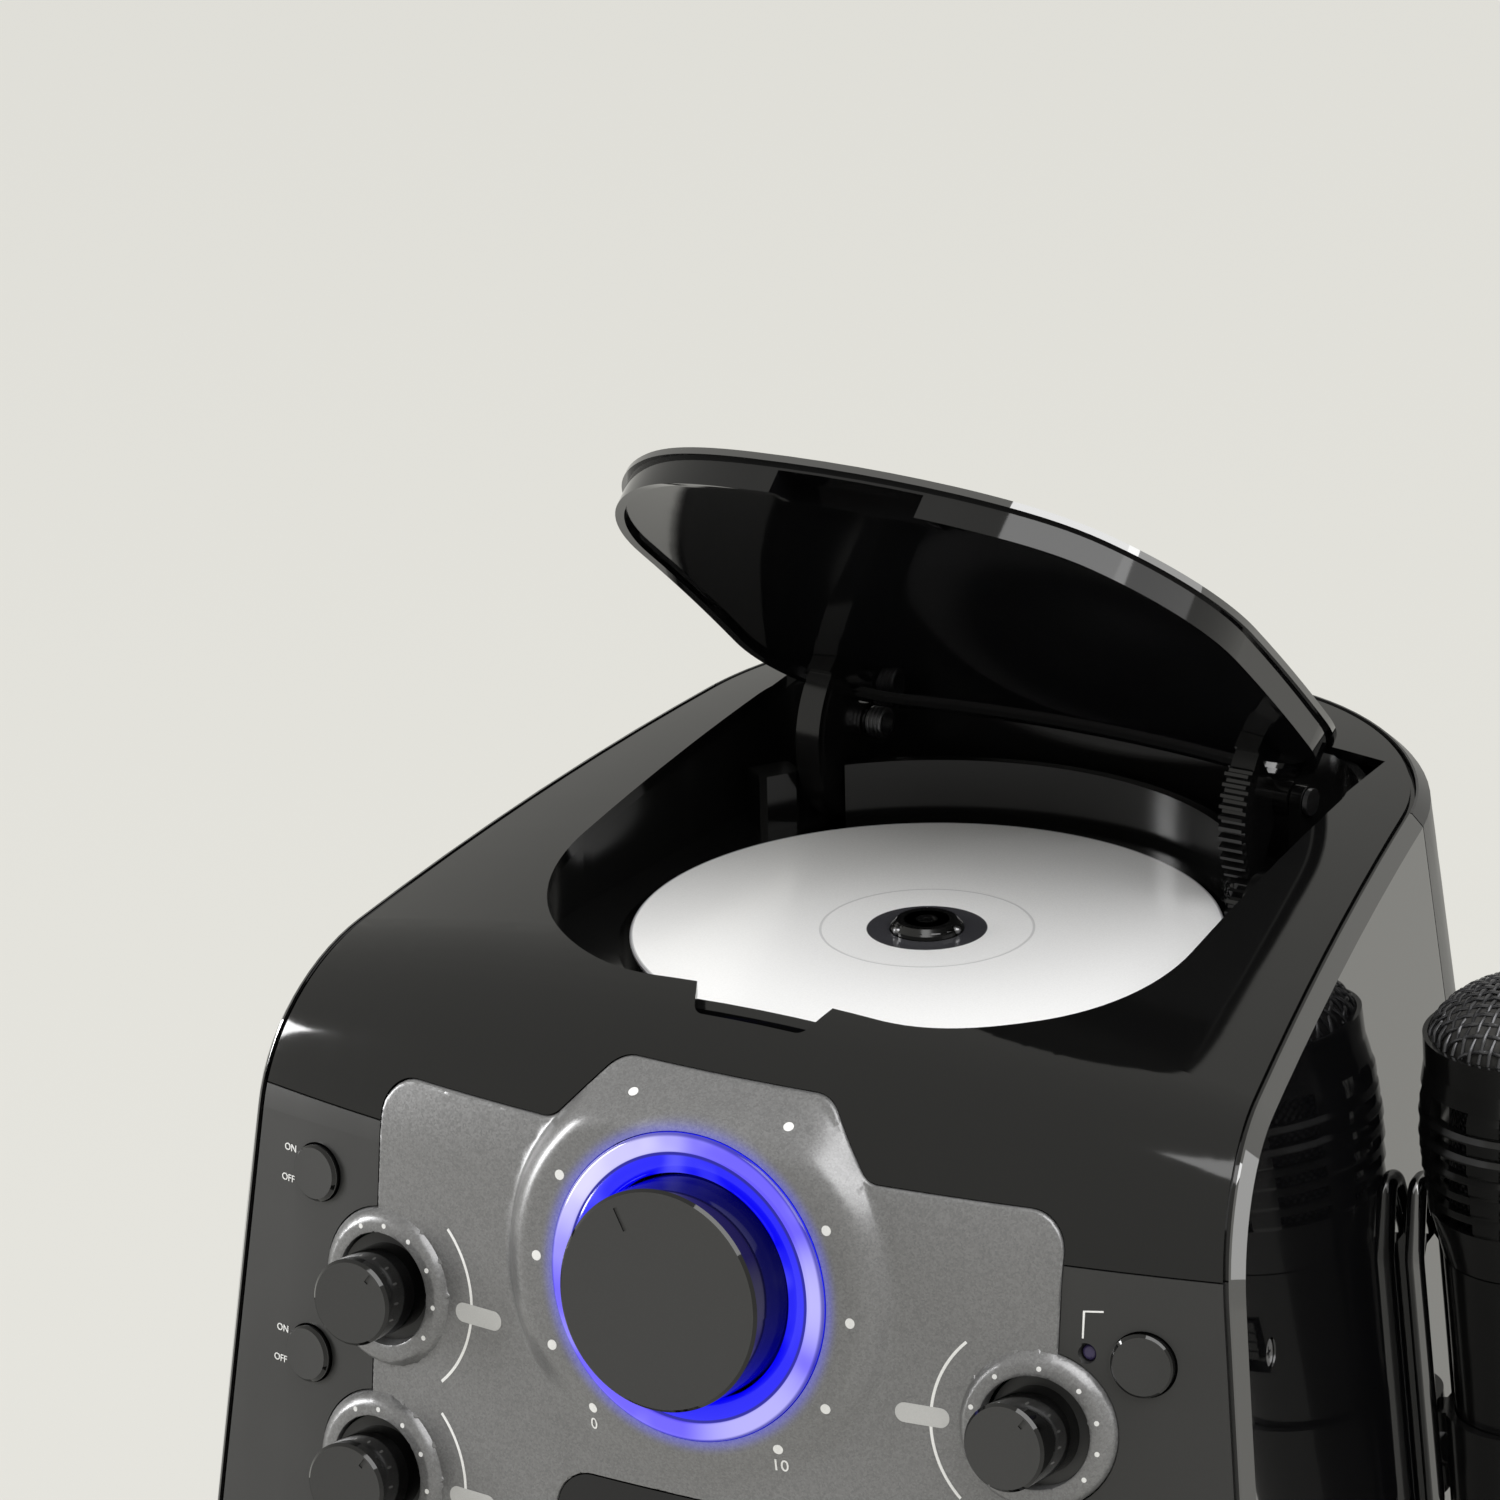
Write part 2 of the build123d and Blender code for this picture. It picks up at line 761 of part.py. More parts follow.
def make_rear_sockets():
    """Three phono sockets for picture and sound."""
    group = []
    for x in socket_places:
        barrel = rear_cylinder(x, socket_level, 4.9, -9, 1.2)
        barrel += rear_cylinder(x, socket_level, 4.15, 0, 8.0)
        barrel -= rear_cylinder(x, socket_level, 3.3, 1.0, 9)
        barrel += rear_cylinder(x, socket_level, 6.5, -side_skin - 2.2, -side_skin - 0.2)
        barrel -= rear_cylinder(x, socket_level, 1.6, -4, 2)
        group += barrel.solids()
    return Compound(group)


def make_main_board():
    board = Pos(0, main_board_y, main_board_level) * Box(
        main_board_width, main_board_depth, board_thickness, align=(Align.CENTER, Align.CENTER, Align.MIN)
    )
    top = main_board_level + board_thickness
    for x, y, width, depth, height in (
        (-20, 40, 30, 12, 22),
        (18, 62, 16, 16, 3),
        (36, 36, 10, 10, 14),
        (-40, 62, 12, 12, 16),
    ):
        board += Pos(x, y, top) * Box(width, depth, height, align=(Align.CENTER, Align.CENTER, Align.MIN))
    return board


def make_transformer():
    low = foot_height + base_thickness
    core = Pos(-70, -20, low) * Box(52, 44, 34, align=(Align.CENTER, Align.CENTER, Align.MIN))
    coil = Pos(-70, -20, low + 6) * Box(34, 60, 24, align=(Align.CENTER, Align.CENTER, Align.MIN))
    foot = Pos(-70, -20, low) * Box(72, 20, 2, align=(Align.CENTER, Align.CENTER, Align.MIN))
    return core + coil + foot


# ---------------------------------------------------------------- disc deck
def make_disc_well():
    """Deck moulding: a tub that follows the opening, with the round disc recess."""
    floor = plan_prism(tub_outline(2.5), well_floor - well_floor_thickness, well_floor)
    rim = plan_prism(tub_outline(2.5), well_floor - 1, disc_top + 50)
    rim -= plan_prism(tub_outline(0.5), well_floor - 2, disc_top + 60)
    rim -= beyond(-wall - seat_gap)
    ledge = plan_prism(tub_outline(1.0), well_ledge - 2.0, well_ledge)
    ledge -= round_solid(recess_radius, well_floor - 1, disc_top)
    collar = round_solid(recess_radius + rib_wall, well_floor - 1, well_ledge)
    collar -= round_solid(recess_radius, well_floor - 2, disc_top)
    well = floor + rim + ledge + collar + crescent()
    well -= sled_slot()
    well -= round_solid(turntable_radius + 2.0, well_floor - 6, well_floor + 1)
    for x, y in plate_posts():
        low = plate_level + plate_thickness
        post = Cylinder(3.0, well_floor - 1 - low, align=(Align.CENTER, Align.CENTER, Align.MIN))
        well += Pos(x, y, low) * post
    well += guard_block()
    y, z = pinion_centre()
    low = pinion_x() - pinion_width / 2 - 1.0
    high = pinion_x() + pinion_width / 2 + damper_length + 1.2
    pocket = Box(high - low, 2 * damper_radius + 1.6, 8, align=(Align.MIN, Align.CENTER, Align.MIN))
    well -= Pos(low, y, well_floor) * pocket
    for side in (-1, 1):
        well += cheek_foot(side)
        well -= arm_slot(side)
    return well


def round_solid(radius, low, high):
    return Pos(0, 0, low) * Cylinder(radius, high - low, align=(Align.CENTER, Align.CENTER, Align.MIN))


def crescent():
    """Raised guard behind the disc, between the two hinge arms."""
    guard = round_solid(crescent_outer, well_ledge - 1, crescent_top)
    guard -= round_solid(crescent_inner, well_ledge - 2, crescent_top + 1)
    reach = arm_x - arm_rim_width / 2 - 1.5
    keep = Pos(0, 0, well_ledge - 2) * Box(2 * reach, 100, 40, align=(Align.CENTER, Align.MIN, Align.MIN))
    return guard & keep


def arm_slot(side):
    """Way for an arm to swing through the deck, up to the inner face of its cheek."""
    inner = arm_x - arm_rim_width / 2 - 1.3
    outer = arm_x + arm_rim_width / 2 + cheek_gap
    front = hinge_y - gear_outer() - 1.5
    slot = Box(outer - inner, opening_rear + 0.2 - front, 6, align=(Align.CENTER, Align.MIN, Align.CENTER))
    return Pos(side * (inner + outer) / 2, front, well_ledge) * slot


def gear_outer():
    return gear_module * (sector_teeth_full / 2 + 1)


def sled_slot():
    width = 2 * lens_radius + 4.0
    length = sled_travel + 2 * lens_radius + 4.0
    middle = -(sled_start + sled_travel / 2)
    return Pos(0, middle, well_floor - 1) * extrude(RectangleRounded(width, length, 3.0), amount=3, both=True)


def plate_posts():
    return [(x, y) for x in (-38, 38) for y in (-46, 24)]


def guard_block():
    """Square stand round the disc's recess, left of the left arm."""
    block = Box(7.0, 9.0, guard_top - well_ledge + 1, align=(Align.MIN, Align.CENTER, Align.MIN))
    block = chamfer(block.edges().filter_by(Axis.Z).group_by(Axis.X)[0], 1.2)
    return Rot(Z=guard_angle) * Pos(guard_radius, 0, well_ledge - 1) * block


def cheek_x():
    return arm_x + arm_rim_width / 2 + cheek_gap + cheek_thickness / 2


def cheek_foot(side):
    return Pos(side * (cheek_x() + 1.5), hinge_y, well_ledge - 1.5) * Box(
        cheek_thickness + 3, 6 * cheek_radius, 1.5, align=(Align.CENTER, Align.CENTER, Align.MIN)
    )


def make_hinge_brackets():
    """Two upright cheeks on the deck that carry the hinge pins."""
    group = []
    for side in (-1, 1):
        tall = hinge_z - well_ledge
        upright = Pos(side * cheek_x(), hinge_y, well_ledge) * Box(
            cheek_thickness, 2 * cheek_radius, tall, align=(Align.CENTER, Align.CENTER, Align.MIN)
        )
        foot = Pos(side * (cheek_x() + 0.6), hinge_y, well_ledge) * Box(
            cheek_thickness + 1.2, 5 * cheek_radius, 2.5, align=(Align.CENTER, Align.CENTER, Align.MIN)
        )
        eye = hinge_cylinder(side * cheek_x(), cheek_radius, cheek_thickness)
        cheek = upright + foot + eye
        cheek -= hinge_cylinder(side * cheek_x(), pin_radius + 0.02, cheek_thickness + 2)
        group += cheek.solids()
    return Compound(group)


def hinge_cylinder(x, radius, length):
    return Pos(x, hinge_y, hinge_z) * Rot(Y=90) * Cylinder(radius, length)


def make_hinge_pins():
    group = []
    for side in (-1, 1):
        inner = arm_x - arm_rim_width / 2 - 0.6
        outer = cheek_x() + cheek_thickness / 2 + 0.2
        pin = hinge_cylinder(side * (inner + outer) / 2, pin_radius, outer - inner)
        head = hinge_cylinder(side * (outer + 0.5), pin_radius + 1.0, 1.0)
        group += (pin + head).solids()
    return Compound(group)


def gear_outline(teeth, module, slack):
    """Trapezoid-toothed gear outline with its pitch circle on module * teeth / 2."""
    pitch = module * teeth / 2
    root = pitch - 1.2 * module
    tip = pitch + module
    points = []
    for index in range(teeth):
        centre = 2 * math.pi * index / teeth
        for radius, share in ((root, 0.36), (tip, 0.16)):
            points.append((radius, centre - share * 2 * math.pi / teeth * slack))
        for radius, share in ((tip, 0.16), (root, 0.36)):
            points.append((radius, centre + share * 2 * math.pi / teeth * slack))
    return [(r * math.cos(a), r * math.sin(a)) for r, a in points]


def pinion_centre():
    distance = gear_module * (sector_teeth_full + pinion_teeth) / 2 + mesh_gap
    turn = rad(pinion_angle)
    return hinge_y + distance * math.cos(turn), hinge_z + distance * math.sin(turn)


def pinion_x():
    return arm_x + arm_rim_width / 2 - 0.6


def across(sketch, x, width):
    """Extrudes a sketch drawn in (Y, Z) sideways, centred on x."""
    return Pos(x - width / 2, 0, 0) * extrude(Plane.YZ * sketch, amount=width)


def make_damper_gear():
    y, z = pinion_centre()
    toward = pinion_angle + 180.0
    phase = toward + 180.0 / pinion_teeth
    outline = Polygon(*gear_outline(pinion_teeth, gear_module, 0.92), align=None)
    gear = across(Pos(y, z) * Rot(Z=phase) * outline, pinion_x(), pinion_width)
    shaft_length = pinion_width / 2 + damper_length - 1.0
    shaft = Pos(pinion_x() + shaft_length / 2, y, z) * Rot(Y=90) * Cylinder(damper_shaft, shaft_length)
    return gear + shaft


def make_damper_housing():
    y, z = pinion_centre()
    face = pinion_x() + pinion_width / 2 + 0.4
    drum = Pos(face + damper_length / 2, y, z) * Rot(Y=90) * Cylinder(damper_radius, damper_length)
    stand = Pos(face + damper_length / 2, y, well_floor) * Box(
        damper_length, 8.0, z - well_floor, align=(Align.CENTER, Align.CENTER, Align.MIN)
    )
    bore = Pos(face + damper_length / 2 - 1, y, z) * Rot(Y=90) * Cylinder(damper_shaft + 0.08, damper_length)
    return (drum + stand) - bore - beyond(-wall - 1)


def arm_sector(inner, outer, first, last):
    """Ring sector about the hinge axis in (Y, Z), lid open, angles in degrees from +Y."""

    def at(radius, angle):
        return (radius * math.cos(rad(angle)), radius * math.sin(rad(angle)))

    middle = (first + last) / 2
    edges = [
        Edge.make_three_point_arc(at(outer, first), at(outer, middle), at(outer, last)),
        Edge.make_line(at(outer, last), at(inner, last)),
        Edge.make_three_point_arc(at(inner, last), at(inner, middle), at(inner, first)),
        Edge.make_line(at(inner, first), at(outer, first)),
    ]
    return Pos(hinge_y, hinge_z) * make_face(Wire(edges))


def make_arm(side, toothed):
    """Goose-neck arm in the lid-closed pose; the caller opens it."""
    first = 176.0
    last = sector_last_angle + lid_open_angle
    if toothed:
        arm = across(toothed_sector(), side * arm_x, arm_rim_width)
        last = sector_first_angle + lid_open_angle + 4
    else:
        arm = across(arm_sector(arm_rim_inner, arm_rim_outer, first, last), side * arm_x, arm_rim_width)
    rim = arm_sector(arm_rim_inner, arm_rim_outer, first, last)
    arm += across(rim, side * arm_x, arm_rim_width)
    web = arm_sector(arm_hub_radius - 1.5, arm_rim_inner + 0.4, first + 2, sector_last_angle + lid_open_angle - 4)
    arm += across(web, side * (arm_x - 1.6), arm_web)
    arm += hinge_cylinder(side * arm_x, arm_hub_radius, arm_rim_width)
    foot_low = hinge_z - 2.0
    foot = Pos(side * arm_x, (arm_foot_front + arm_foot_rear) / 2, foot_low) * Box(
        arm_rim_width, arm_foot_rear - arm_foot_front, 20, align=(Align.CENTER, Align.CENTER, Align.MIN)
    )
    foot -= beyond(-liner_floor_low - seat_gap / 3)
    foot -= hinge_cylinder(side * arm_x, arm_rim_inner, arm_rim_width + 2)
    arm += foot
    arm -= hinge_cylinder(side * arm_x, pin_radius + pin_clearance, arm_rim_width + 4)
    arm -= beyond(-liner_floor_low - seat_gap / 3) & in_front_of(liner_rear)
    return arm


def toothed_sector():
    """Gear sector of the right arm, in the lid-closed pose."""
    points = gear_outline(sector_teeth_full, gear_module, 0.94)
    gear = Pos(hinge_y, hinge_z) * Rot(Z=pinion_angle + lid_open_angle) * Polygon(*points, align=None)
    first = sector_first_angle + lid_open_angle
    last = sector_last_angle + lid_open_angle
    return gear & arm_sector(arm_rim_inner, gear_outer() + 1, first, last)


def lid_outline(margin):
    """Plan of the lid, measured from the opening's edge; the rear ends at the hinge."""
    front = opening_front - margin
    rear = lid_rear - lid_length_short + margin
    share = (rear - front) / (opening_rear + margin - front)
    half_front = opening_half_front + margin
    half_rear = half_front + (opening_half_rear - opening_half_front) * share
    points = [(-half_front, front), (half_front, front), (half_rear, rear), (-half_rear, rear)]
    sketch = Polygon(*points, align=None)
    corners = sketch.vertices().sort_by(Axis.Y)
    sketch = fillet(corners[:2], opening_corner_front + lid_corner_extra + margin)
    corners = sketch.vertices().sort_by(Axis.Y)[-2:]
    return fillet(corners, lid_corner_rear + margin)


def lid_prism(margin):
    return plan_prism(lid_outline(margin), disc_top - 30, disc_top + 70)


def open_lid(shape):
    return turned_about_hinge(shape, -lid_open_angle)


def finger_pocket(low, high, margin=0.0):
    """Pull recess under the lid's front edge, over the finger notch."""
    rear = opening_front + pocket_depth + margin
    front = opening_front - 6
    pocket = Pos(0, front, 0) * Box(
        2 * (pocket_half + margin), rear - front, 700, align=(Align.CENTER, Align.MIN, Align.CENTER)
    )
    return pocket & band(low, high)


def make_lid_cover():
    """Thin top plate with a locating rim under it."""
    plate = band(lid_cap_low, lid_cap_high) & lid_prism(-lid_gap)
    outer = liner_inset + liner_wall + seat_gap / 2
    rim = lid_prism(-outer) - lid_prism(-outer - liner_wall)
    rim = band(-lid_plug_depth, lid_cap_low + 0.2) & rim
    rim -= finger_pocket(-12, lid_cap_low, liner_wall + seat_gap)
    return open_lid((plate + rim) - lid_rear_sweep())


def make_lid_liner():
    """Underside of the lid: a skirt all round, with the floor set up inside it."""
    outline = lid_prism(-liner_inset)
    block = band(-skirt_depth, lid_cap_low) & outline
    below = band(-skirt_depth - 1, -liner_floor_low) & lid_prism(-liner_inset - liner_wall)
    above = band(liner_thickness - liner_floor_low, lid_cap_low + 1) & lid_prism(-liner_inset - liner_wall)
    liner = block - below - (above - finger_pocket(-12, lid_cap_low + 1, liner_wall))
    liner += finger_pocket(-skirt_depth, -liner_floor_low, liner_wall) & outline
    liner -= finger_pocket(-12, lid_cap_low - liner_thickness)
    return open_lid(liner - lid_rear_sweep())


def lid_swing():
    """Reach of the lid's rear edge about the hinge; the shell is cut clear of it."""
    reach_up = top_height(opening_rear) - wall - hinge_z
    return math.hypot(opening_rear - hinge_y, reach_up) - 0.5


def lid_rear_sweep():
    """What lies outside the swing of the lid's rear edge under the shell."""
    zone = Pos(0, hinge_y - 8, hinge_z) * Box(300, 60, 60, align=(Align.CENTER, Align.MIN, Align.MIN))
    return zone - hinge_cylinder(0, lid_swing(), 320)


def top_height(y):
    """Height of the skin's centre line above the floor at y."""
    lean = rad(front_lean)
    slope = rad(top_slope)
    start_y = front_y - (front_level - roll_start) * math.tan(lean)
    centre_y = start_y + roll_radius * math.cos(lean) + (top_radius - roll_radius) * math.sin(slope)
    centre_z = roll_start - roll_radius * math.sin(lean) - (top_radius - roll_radius) * math.cos(slope)
    return centre_z + math.sqrt(top_radius**2 - (y - centre_y) ** 2)


def make_lid_spring():
    """Close-wound torsion spring round the left pin, drawn as one ribbed sleeve."""
    wire = 0.9
    inner = pin_radius + 0.5
    turns = 4
    start = arm_x - arm_rim_width / 2 - 0.6 - turns * wire
    points = [(inner, 0)]
    for turn in range(turns):
        points.append((inner + wire, turn * wire + 0.2))
        points.append((inner + wire, turn * wire + wire - 0.2))
        points.append((inner + wire - 0.3, turn * wire + wire))
    points.append((inner, turns * wire))
    sleeve = revolve(Plane.XZ * Polygon(*points, align=None), Axis.Z)
    sleeve = Pos(-start - turns * wire, hinge_y, hinge_z) * Rot(Y=90) * sleeve
    return sleeve


# ---------------------------------------------------------------- disc and its drive
def make_disc():
    low = disc_top - disc_thickness
    disc = round_solid(disc_radius, low, disc_top) - round_solid(disc_hole, low - 1, disc_top + 1)
    return disc


def make_spindle_hub():
    low = disc_top - disc_thickness
    hub = round_solid(turntable_radius, low - turntable_thickness, low)
    cap = round_solid(hub_radius, low, disc_top + hub_height)
    cap = chamfer(cap.edges().group_by(Axis.Z)[-1], 1.2)
    for index in range(3):
        turn = 120 * index
        cap -= Rot(Z=turn) * Pos(hub_radius, 0, low) * Box(2.4, 2.2, 30, align=(Align.CENTER, Align.CENTER, Align.MIN))
    cap -= round_solid(1.6, disc_top + 0.6, disc_top + 9)
    shaft = round_solid(spindle_radius, plate_level - 6, low - turntable_thickness + 0.5)
    return hub + cap + shaft


def make_mechanism_plate():
    inner, outer = rod_ends()
    front = outer - 4.0
    plate = Pos(0, front, plate_level) * Box(
        92, 36 - front, plate_thickness, align=(Align.CENTER, Align.MIN, Align.MIN)
    )
    plate -= round_solid(4.0, plate_level - 2, plate_level + 4)
    y, x = rack_centre()
    plate -= Pos(x, y, plate_level - 2) * Cylinder(3.0, 12)
    for rod_x in (-rod_half_gap, rod_half_gap):
        for y in rod_ends():
            block = Pos(rod_x, y, plate_level + plate_thickness) * Box(
                6.0, 4.0, rod_level() + 3.0 - plate_level - plate_thickness,
                align=(Align.CENTER, Align.CENTER, Align.MIN),
            )
            block -= Pos(rod_x, y, rod_level()) * Rot(X=90) * Cylinder(rod_radius_guide + 0.02, 20)
            plate += block
    return plate


def rod_level():
    return (sled_low + sled_high) / 2


def rod_ends():
    inner = -(sled_start - sled_length / 2) + 6.0
    outer = -(sled_start + sled_travel + sled_length / 2) + 1.0 - 4.0
    return inner, outer


def make_guide_rods():
    inner, outer = rod_ends()
    group = []
    for x in (-rod_half_gap, rod_half_gap):
        length = inner - outer + 3.0
        rod = Pos(x, (inner + outer) / 2, rod_level()) * Rot(X=90) * Cylinder(rod_radius_guide, length)
        group += rod.solids()
    return Compound(group)


def make_deck_motors():
    """Spindle motor and feed motor, two alike, under the mechanism plate."""
    group = []
    y, x = rack_centre()
    for mx, my in ((0, 0), (x, y)):
        can = Pos(mx, my, plate_level - motor_height) * Cylinder(
            motor_radius - 2, motor_height, align=(Align.CENTER, Align.CENTER, Align.MIN)
        )
        can -= Pos(mx, my, plate_level - 7) * Cylinder(
            spindle_radius + 0.05, 20, align=(Align.CENTER, Align.CENTER, Align.MIN)
        )
        group += can.solids()
    return Compound(group)


def rack_x():
    return sled_width / 2


def rack_centre():
    pitch = feed_module * feed_teeth / 2
    return -(sled_start + sled_travel / 2), rack_x() + feed_module + pitch + rack_gap


def make_feed_gear():
    y, x = rack_centre()
    outline = Polygon(*gear_outline(feed_teeth, feed_module, 0.9), align=None)
    gear = Pos(x, y, rod_level()) * extrude(Rot(Z=180 + 18) * outline, amount=feed_width / 2, both=True)
    shaft = Pos(x, y, plate_level - 6) * Cylinder(
        spindle_radius, rod_level() - plate_level + 6, align=(Align.CENTER, Align.CENTER, Align.MIN)
    )
    return gear + shaft


def make_pickup_sled():
    low, high = sled_low, sled_high
    body = Pos(0, -sled_start, low) * Box(sled_width, sled_length, high - low, align=(Align.CENTER, Align.CENTER, Align.MIN))
    rack = rack_bar()
    body += rack
    for x in (-rod_half_gap, rod_half_gap):
        body -= Pos(x, -sled_start, rod_level()) * Rot(X=90) * Cylinder(rod_radius_guide + 0.05, 100)
    body -= Pos(0, -sled_start, high - 3) * Cylinder(lens_radius + 0.1, 10, align=(Align.CENTER, Align.CENTER, Align.MIN))
    return body


def rack_bar():
    """Rack on the sled's right side, long enough for the whole travel."""
    pitch = math.pi * feed_module
    middle_y, _ = rack_centre()
    depth = rod_level()
    group = None
    half = sled_travel / 2 + 4 * feed_module
    low_y = middle_y - 3.0
    bar_high = middle_y + sled_travel + 3.0
    bar = Pos(rack_x() - 2.0, (low_y + bar_high) / 2, depth) * Box(2.4, bar_high - low_y, feed_width - 0.4)
    group = bar
    count = int((bar_high - low_y) / pitch) - 1
    for index in range(-1, count):
        y = middle_y + index * pitch
        if y < low_y + 1 or y > bar_high - 1:
            continue
        root = rack_x() - 0.9
        points = [(root, y - 0.34 * pitch), (rack_x() + feed_module, y - 0.15 * pitch),
                  (rack_x() + feed_module, y + 0.15 * pitch), (root, y + 0.34 * pitch)]
        tooth = Pos(0, 0, depth) * extrude(Polygon(*points, align=None), amount=feed_width / 2 - 0.2, both=True)
        group += tooth
    return group


def make_pickup_lens():
    holder = Pos(0, -sled_start, sled_high - 3) * Cylinder(
        lens_radius, well_floor + 3.2 - sled_high + 3, align=(Align.CENTER, Align.CENTER, Align.MIN)
    )
    return fillet(holder.edges().group_by(Axis.Z)[-1], 1.0)


# ---------------------------------------------------------------- knobs, buttons, display
def board_distance(x):
    """How far the control board lies behind the skin at x."""
    return board_depth - (crown_radius - math.sqrt(crown_radius**2 - x**2))


def turned_on_front(points, x, level):
    """Revolves a profile of (radius, height over the skin) about a knob's axis."""
    shape = revolve(Plane.XZ * Polygon(*points, align=None), Axis.Z)
    return front_plane(x, level) * shape


def knob_profile(radius, height, foot, shaft_end):
    edge = 0.6
    stem = shaft_radius + 1.4
    return [
        (0, height), (radius - edge, height), (radius, height - edge), (radius, foot),
        (radius - knob_wall, foot), (radius - knob_wall, height - knob_wall),
        (stem, height - knob_wall), (stem, foot), (shaft_radius, foot),
        (shaft_radius, shaft_end), (0, shaft_end),
    ]


def make_volume_knob():
    end = -board_depth + 1.0
    knob = turned_on_front(knob_profile(volume_radius, volume_height, knob_foot, end), 0, knob_level)
    return knob - pointer(0, knob_level, volume_radius, volume_height, volume_turn)


def pointer(x, level, radius, height, turn):
    """Short engraved line near the rim, turned clockwise from the top."""
    mark = Pos(0, radius * 0.78, height) * Box(0.9, radius * 0.22, 0.5)
    return front_plane(x, level) * Rot(Z=-turn) * mark


def make_small_knob(x, level):
    end = -board_distance(x) + 1.0
    knob = turned_on_front(knob_profile(small_radius, small_height, knob_foot, end), x, level)
    knob += front_cylinder(x, level, small_hole - slide_gap, knob_foot, flange_height) - front_cylinder(
        x, level, small_radius - 0.5, knob_foot - 1, flange_height + 1)
    return knob - pointer(x, level, small_radius, small_height, small_turn)


def make_volume_ring():
    """Light guide round the volume knob."""
    profile = [
        (ring_inner, -6.0), (ring_radius, -6.0),
        (ring_radius, ring_proud + 0.2), (ring_radius - 1.4, ring_proud + 0.4),
        (ring_radius - 5.4, 0.2), (ring_inner, -0.8),
    ]
    ring = turned_on_front(profile, 0, knob_level)
    middle = (ring_inner + ring_radius) / 2
    for turn in (45, 135, 225, 315):
        leg = Pos(middle * math.cos(rad(turn)), middle * math.sin(rad(turn)), -board_depth) * Cylinder(
            1.8, board_depth - 5.0, align=(Align.CENTER, Align.CENTER, Align.MIN)
        )
        ring += front_plane(0, knob_level) * leg
    return ring


def make_round_button(x, level, radius):
    body = front_cylinder(x, level, radius, -4.6, 9.0) - beyond(button_proud)
    body -= button_rounding(x, level, radius)
    flange = front_cylinder(x, level, radius + 1.4, -5.6, -4.5)
    top = board_distance(x) - switch_height
    stem = front_cylinder(x, level, stem_radius, -top - stem_grip, -5.0)
    return body + flange + stem


def button_rounding(x, level, radius):
    """Takes the sharp rim off a button whose face follows the crowned front."""
    edge = 0.6
    low, high = button_proud - edge, button_proud + 1.0
    tool = Cylinder(radius + 3, high - low, align=(Align.CENTER, Align.CENTER, Align.MIN))
    tool -= Cone(radius + 0.1, radius - edge - 1.0, high - low, align=(Align.CENTER, Align.CENTER, Align.MIN))
    return skin_plane(x, level) * Pos(0, 0, low) * tool


def key_x(index):
    return (index - (key_count - 1) / 2) * key_pitch


def key_prism(index, margin, low, high):
    sketch = RectangleRounded(key_width + 2 * margin, key_height + 2 * margin, 1.6 + margin)
    return front_plane(key_x(index), key_level) * Pos(0, 0, low) * extrude(sketch, amount=high - low)


def make_key(index):
    body = key_prism(index, 0, -4.0, key_proud)
    body += key_prism(index, 1.2, -5.2, -4.0)
    top = board_distance(key_x(index)) - switch_height
    return body + front_cylinder(key_x(index), key_level, stem_radius, -top - stem_grip, -5.0)


def board_plane():
    middle = (board_top + board_bottom) / 2
    return front_plane(0, middle).offset(-board_depth)


def make_control_board():
    """Printed board with the rotary controls and the push switches soldered on."""
    tall = board_top - board_bottom
    board = board_plane() * Pos(0, 0, -board_thickness) * Box(
        2 * board_half_width, tall, board_thickness, align=(Align.CENTER, Align.CENTER, Align.MIN)
    )
    rotary = [(0, knob_level)] + [(side * small_x, level) for side in (-1, 1) for level in small_levels]
    for x, level in rotary:
        depth = board_distance(x)
        pot = front_cylinder(x, level, pot_radius, -depth - 0.1, -depth + pot_height)
        pot -= front_cylinder(x, level, shaft_radius + shaft_clearance, -depth + 0.4, 0)
        board += pot
    wide = [(x, level) for x, level, _ in round_buttons()]
    wide += [(key_x(index), key_level) for index in range(key_count)]
    for x, level in wide:
        board += make_switch(x, level)
    for side in (-1, 1):
        wing = board_plane() * Pos(side * (board_half_width + 5), 0, -board_thickness) * Box(
            12, tall, board_thickness, align=(Align.CENTER, Align.CENTER, Align.MIN)
        )
        board += wing - beyond(-wall - seat_gap)
    return board


def make_switch(x, level):
    depth = board_distance(x)
    sketch = Rectangle(switch_size, switch_size)
    block = front_plane(x, level) * Pos(0, 0, -depth - 0.1) * extrude(sketch, amount=switch_height + 0.1)
    return block - front_cylinder(x, level, stem_radius + stem_clearance, -depth + 0.4, 0)


def make_status_led():
    light = front_cylinder(led_x, led_level, led_radius, -board_distance(led_x), -0.8)
    return fillet(light.edges().filter_by(GeomType.CIRCLE).sort_by(Axis.Y)[0], 0.7)


def make_display_window():
    sheet = band(-wall - 2.0, 0.1) & elevation_prism(window_outline(0))
    flange = band(-wall - 3.4, -panel_thickness - seat_gap) & elevation_prism(window_outline(2.0))
    return sheet + flange


def make_display_module():
    level = (window_top + window_bottom) / 2
    height = board_depth - 9.0
    body = front_plane(0, level) * Pos(0, 0, -board_depth) * extrude(Rectangle(50, 24), amount=height)
    for index in range(4):
        x = (index - 1.5) * 11
        digit = front_plane(0, level) * Pos(x, 0, -board_depth + height) * Box(8, 14, 0.6)
        body -= digit
    return body


# ---------------------------------------------------------------- loudspeaker and sockets
def turned_speaker(points):
    return turned_on_front(points, 0, speaker_level)


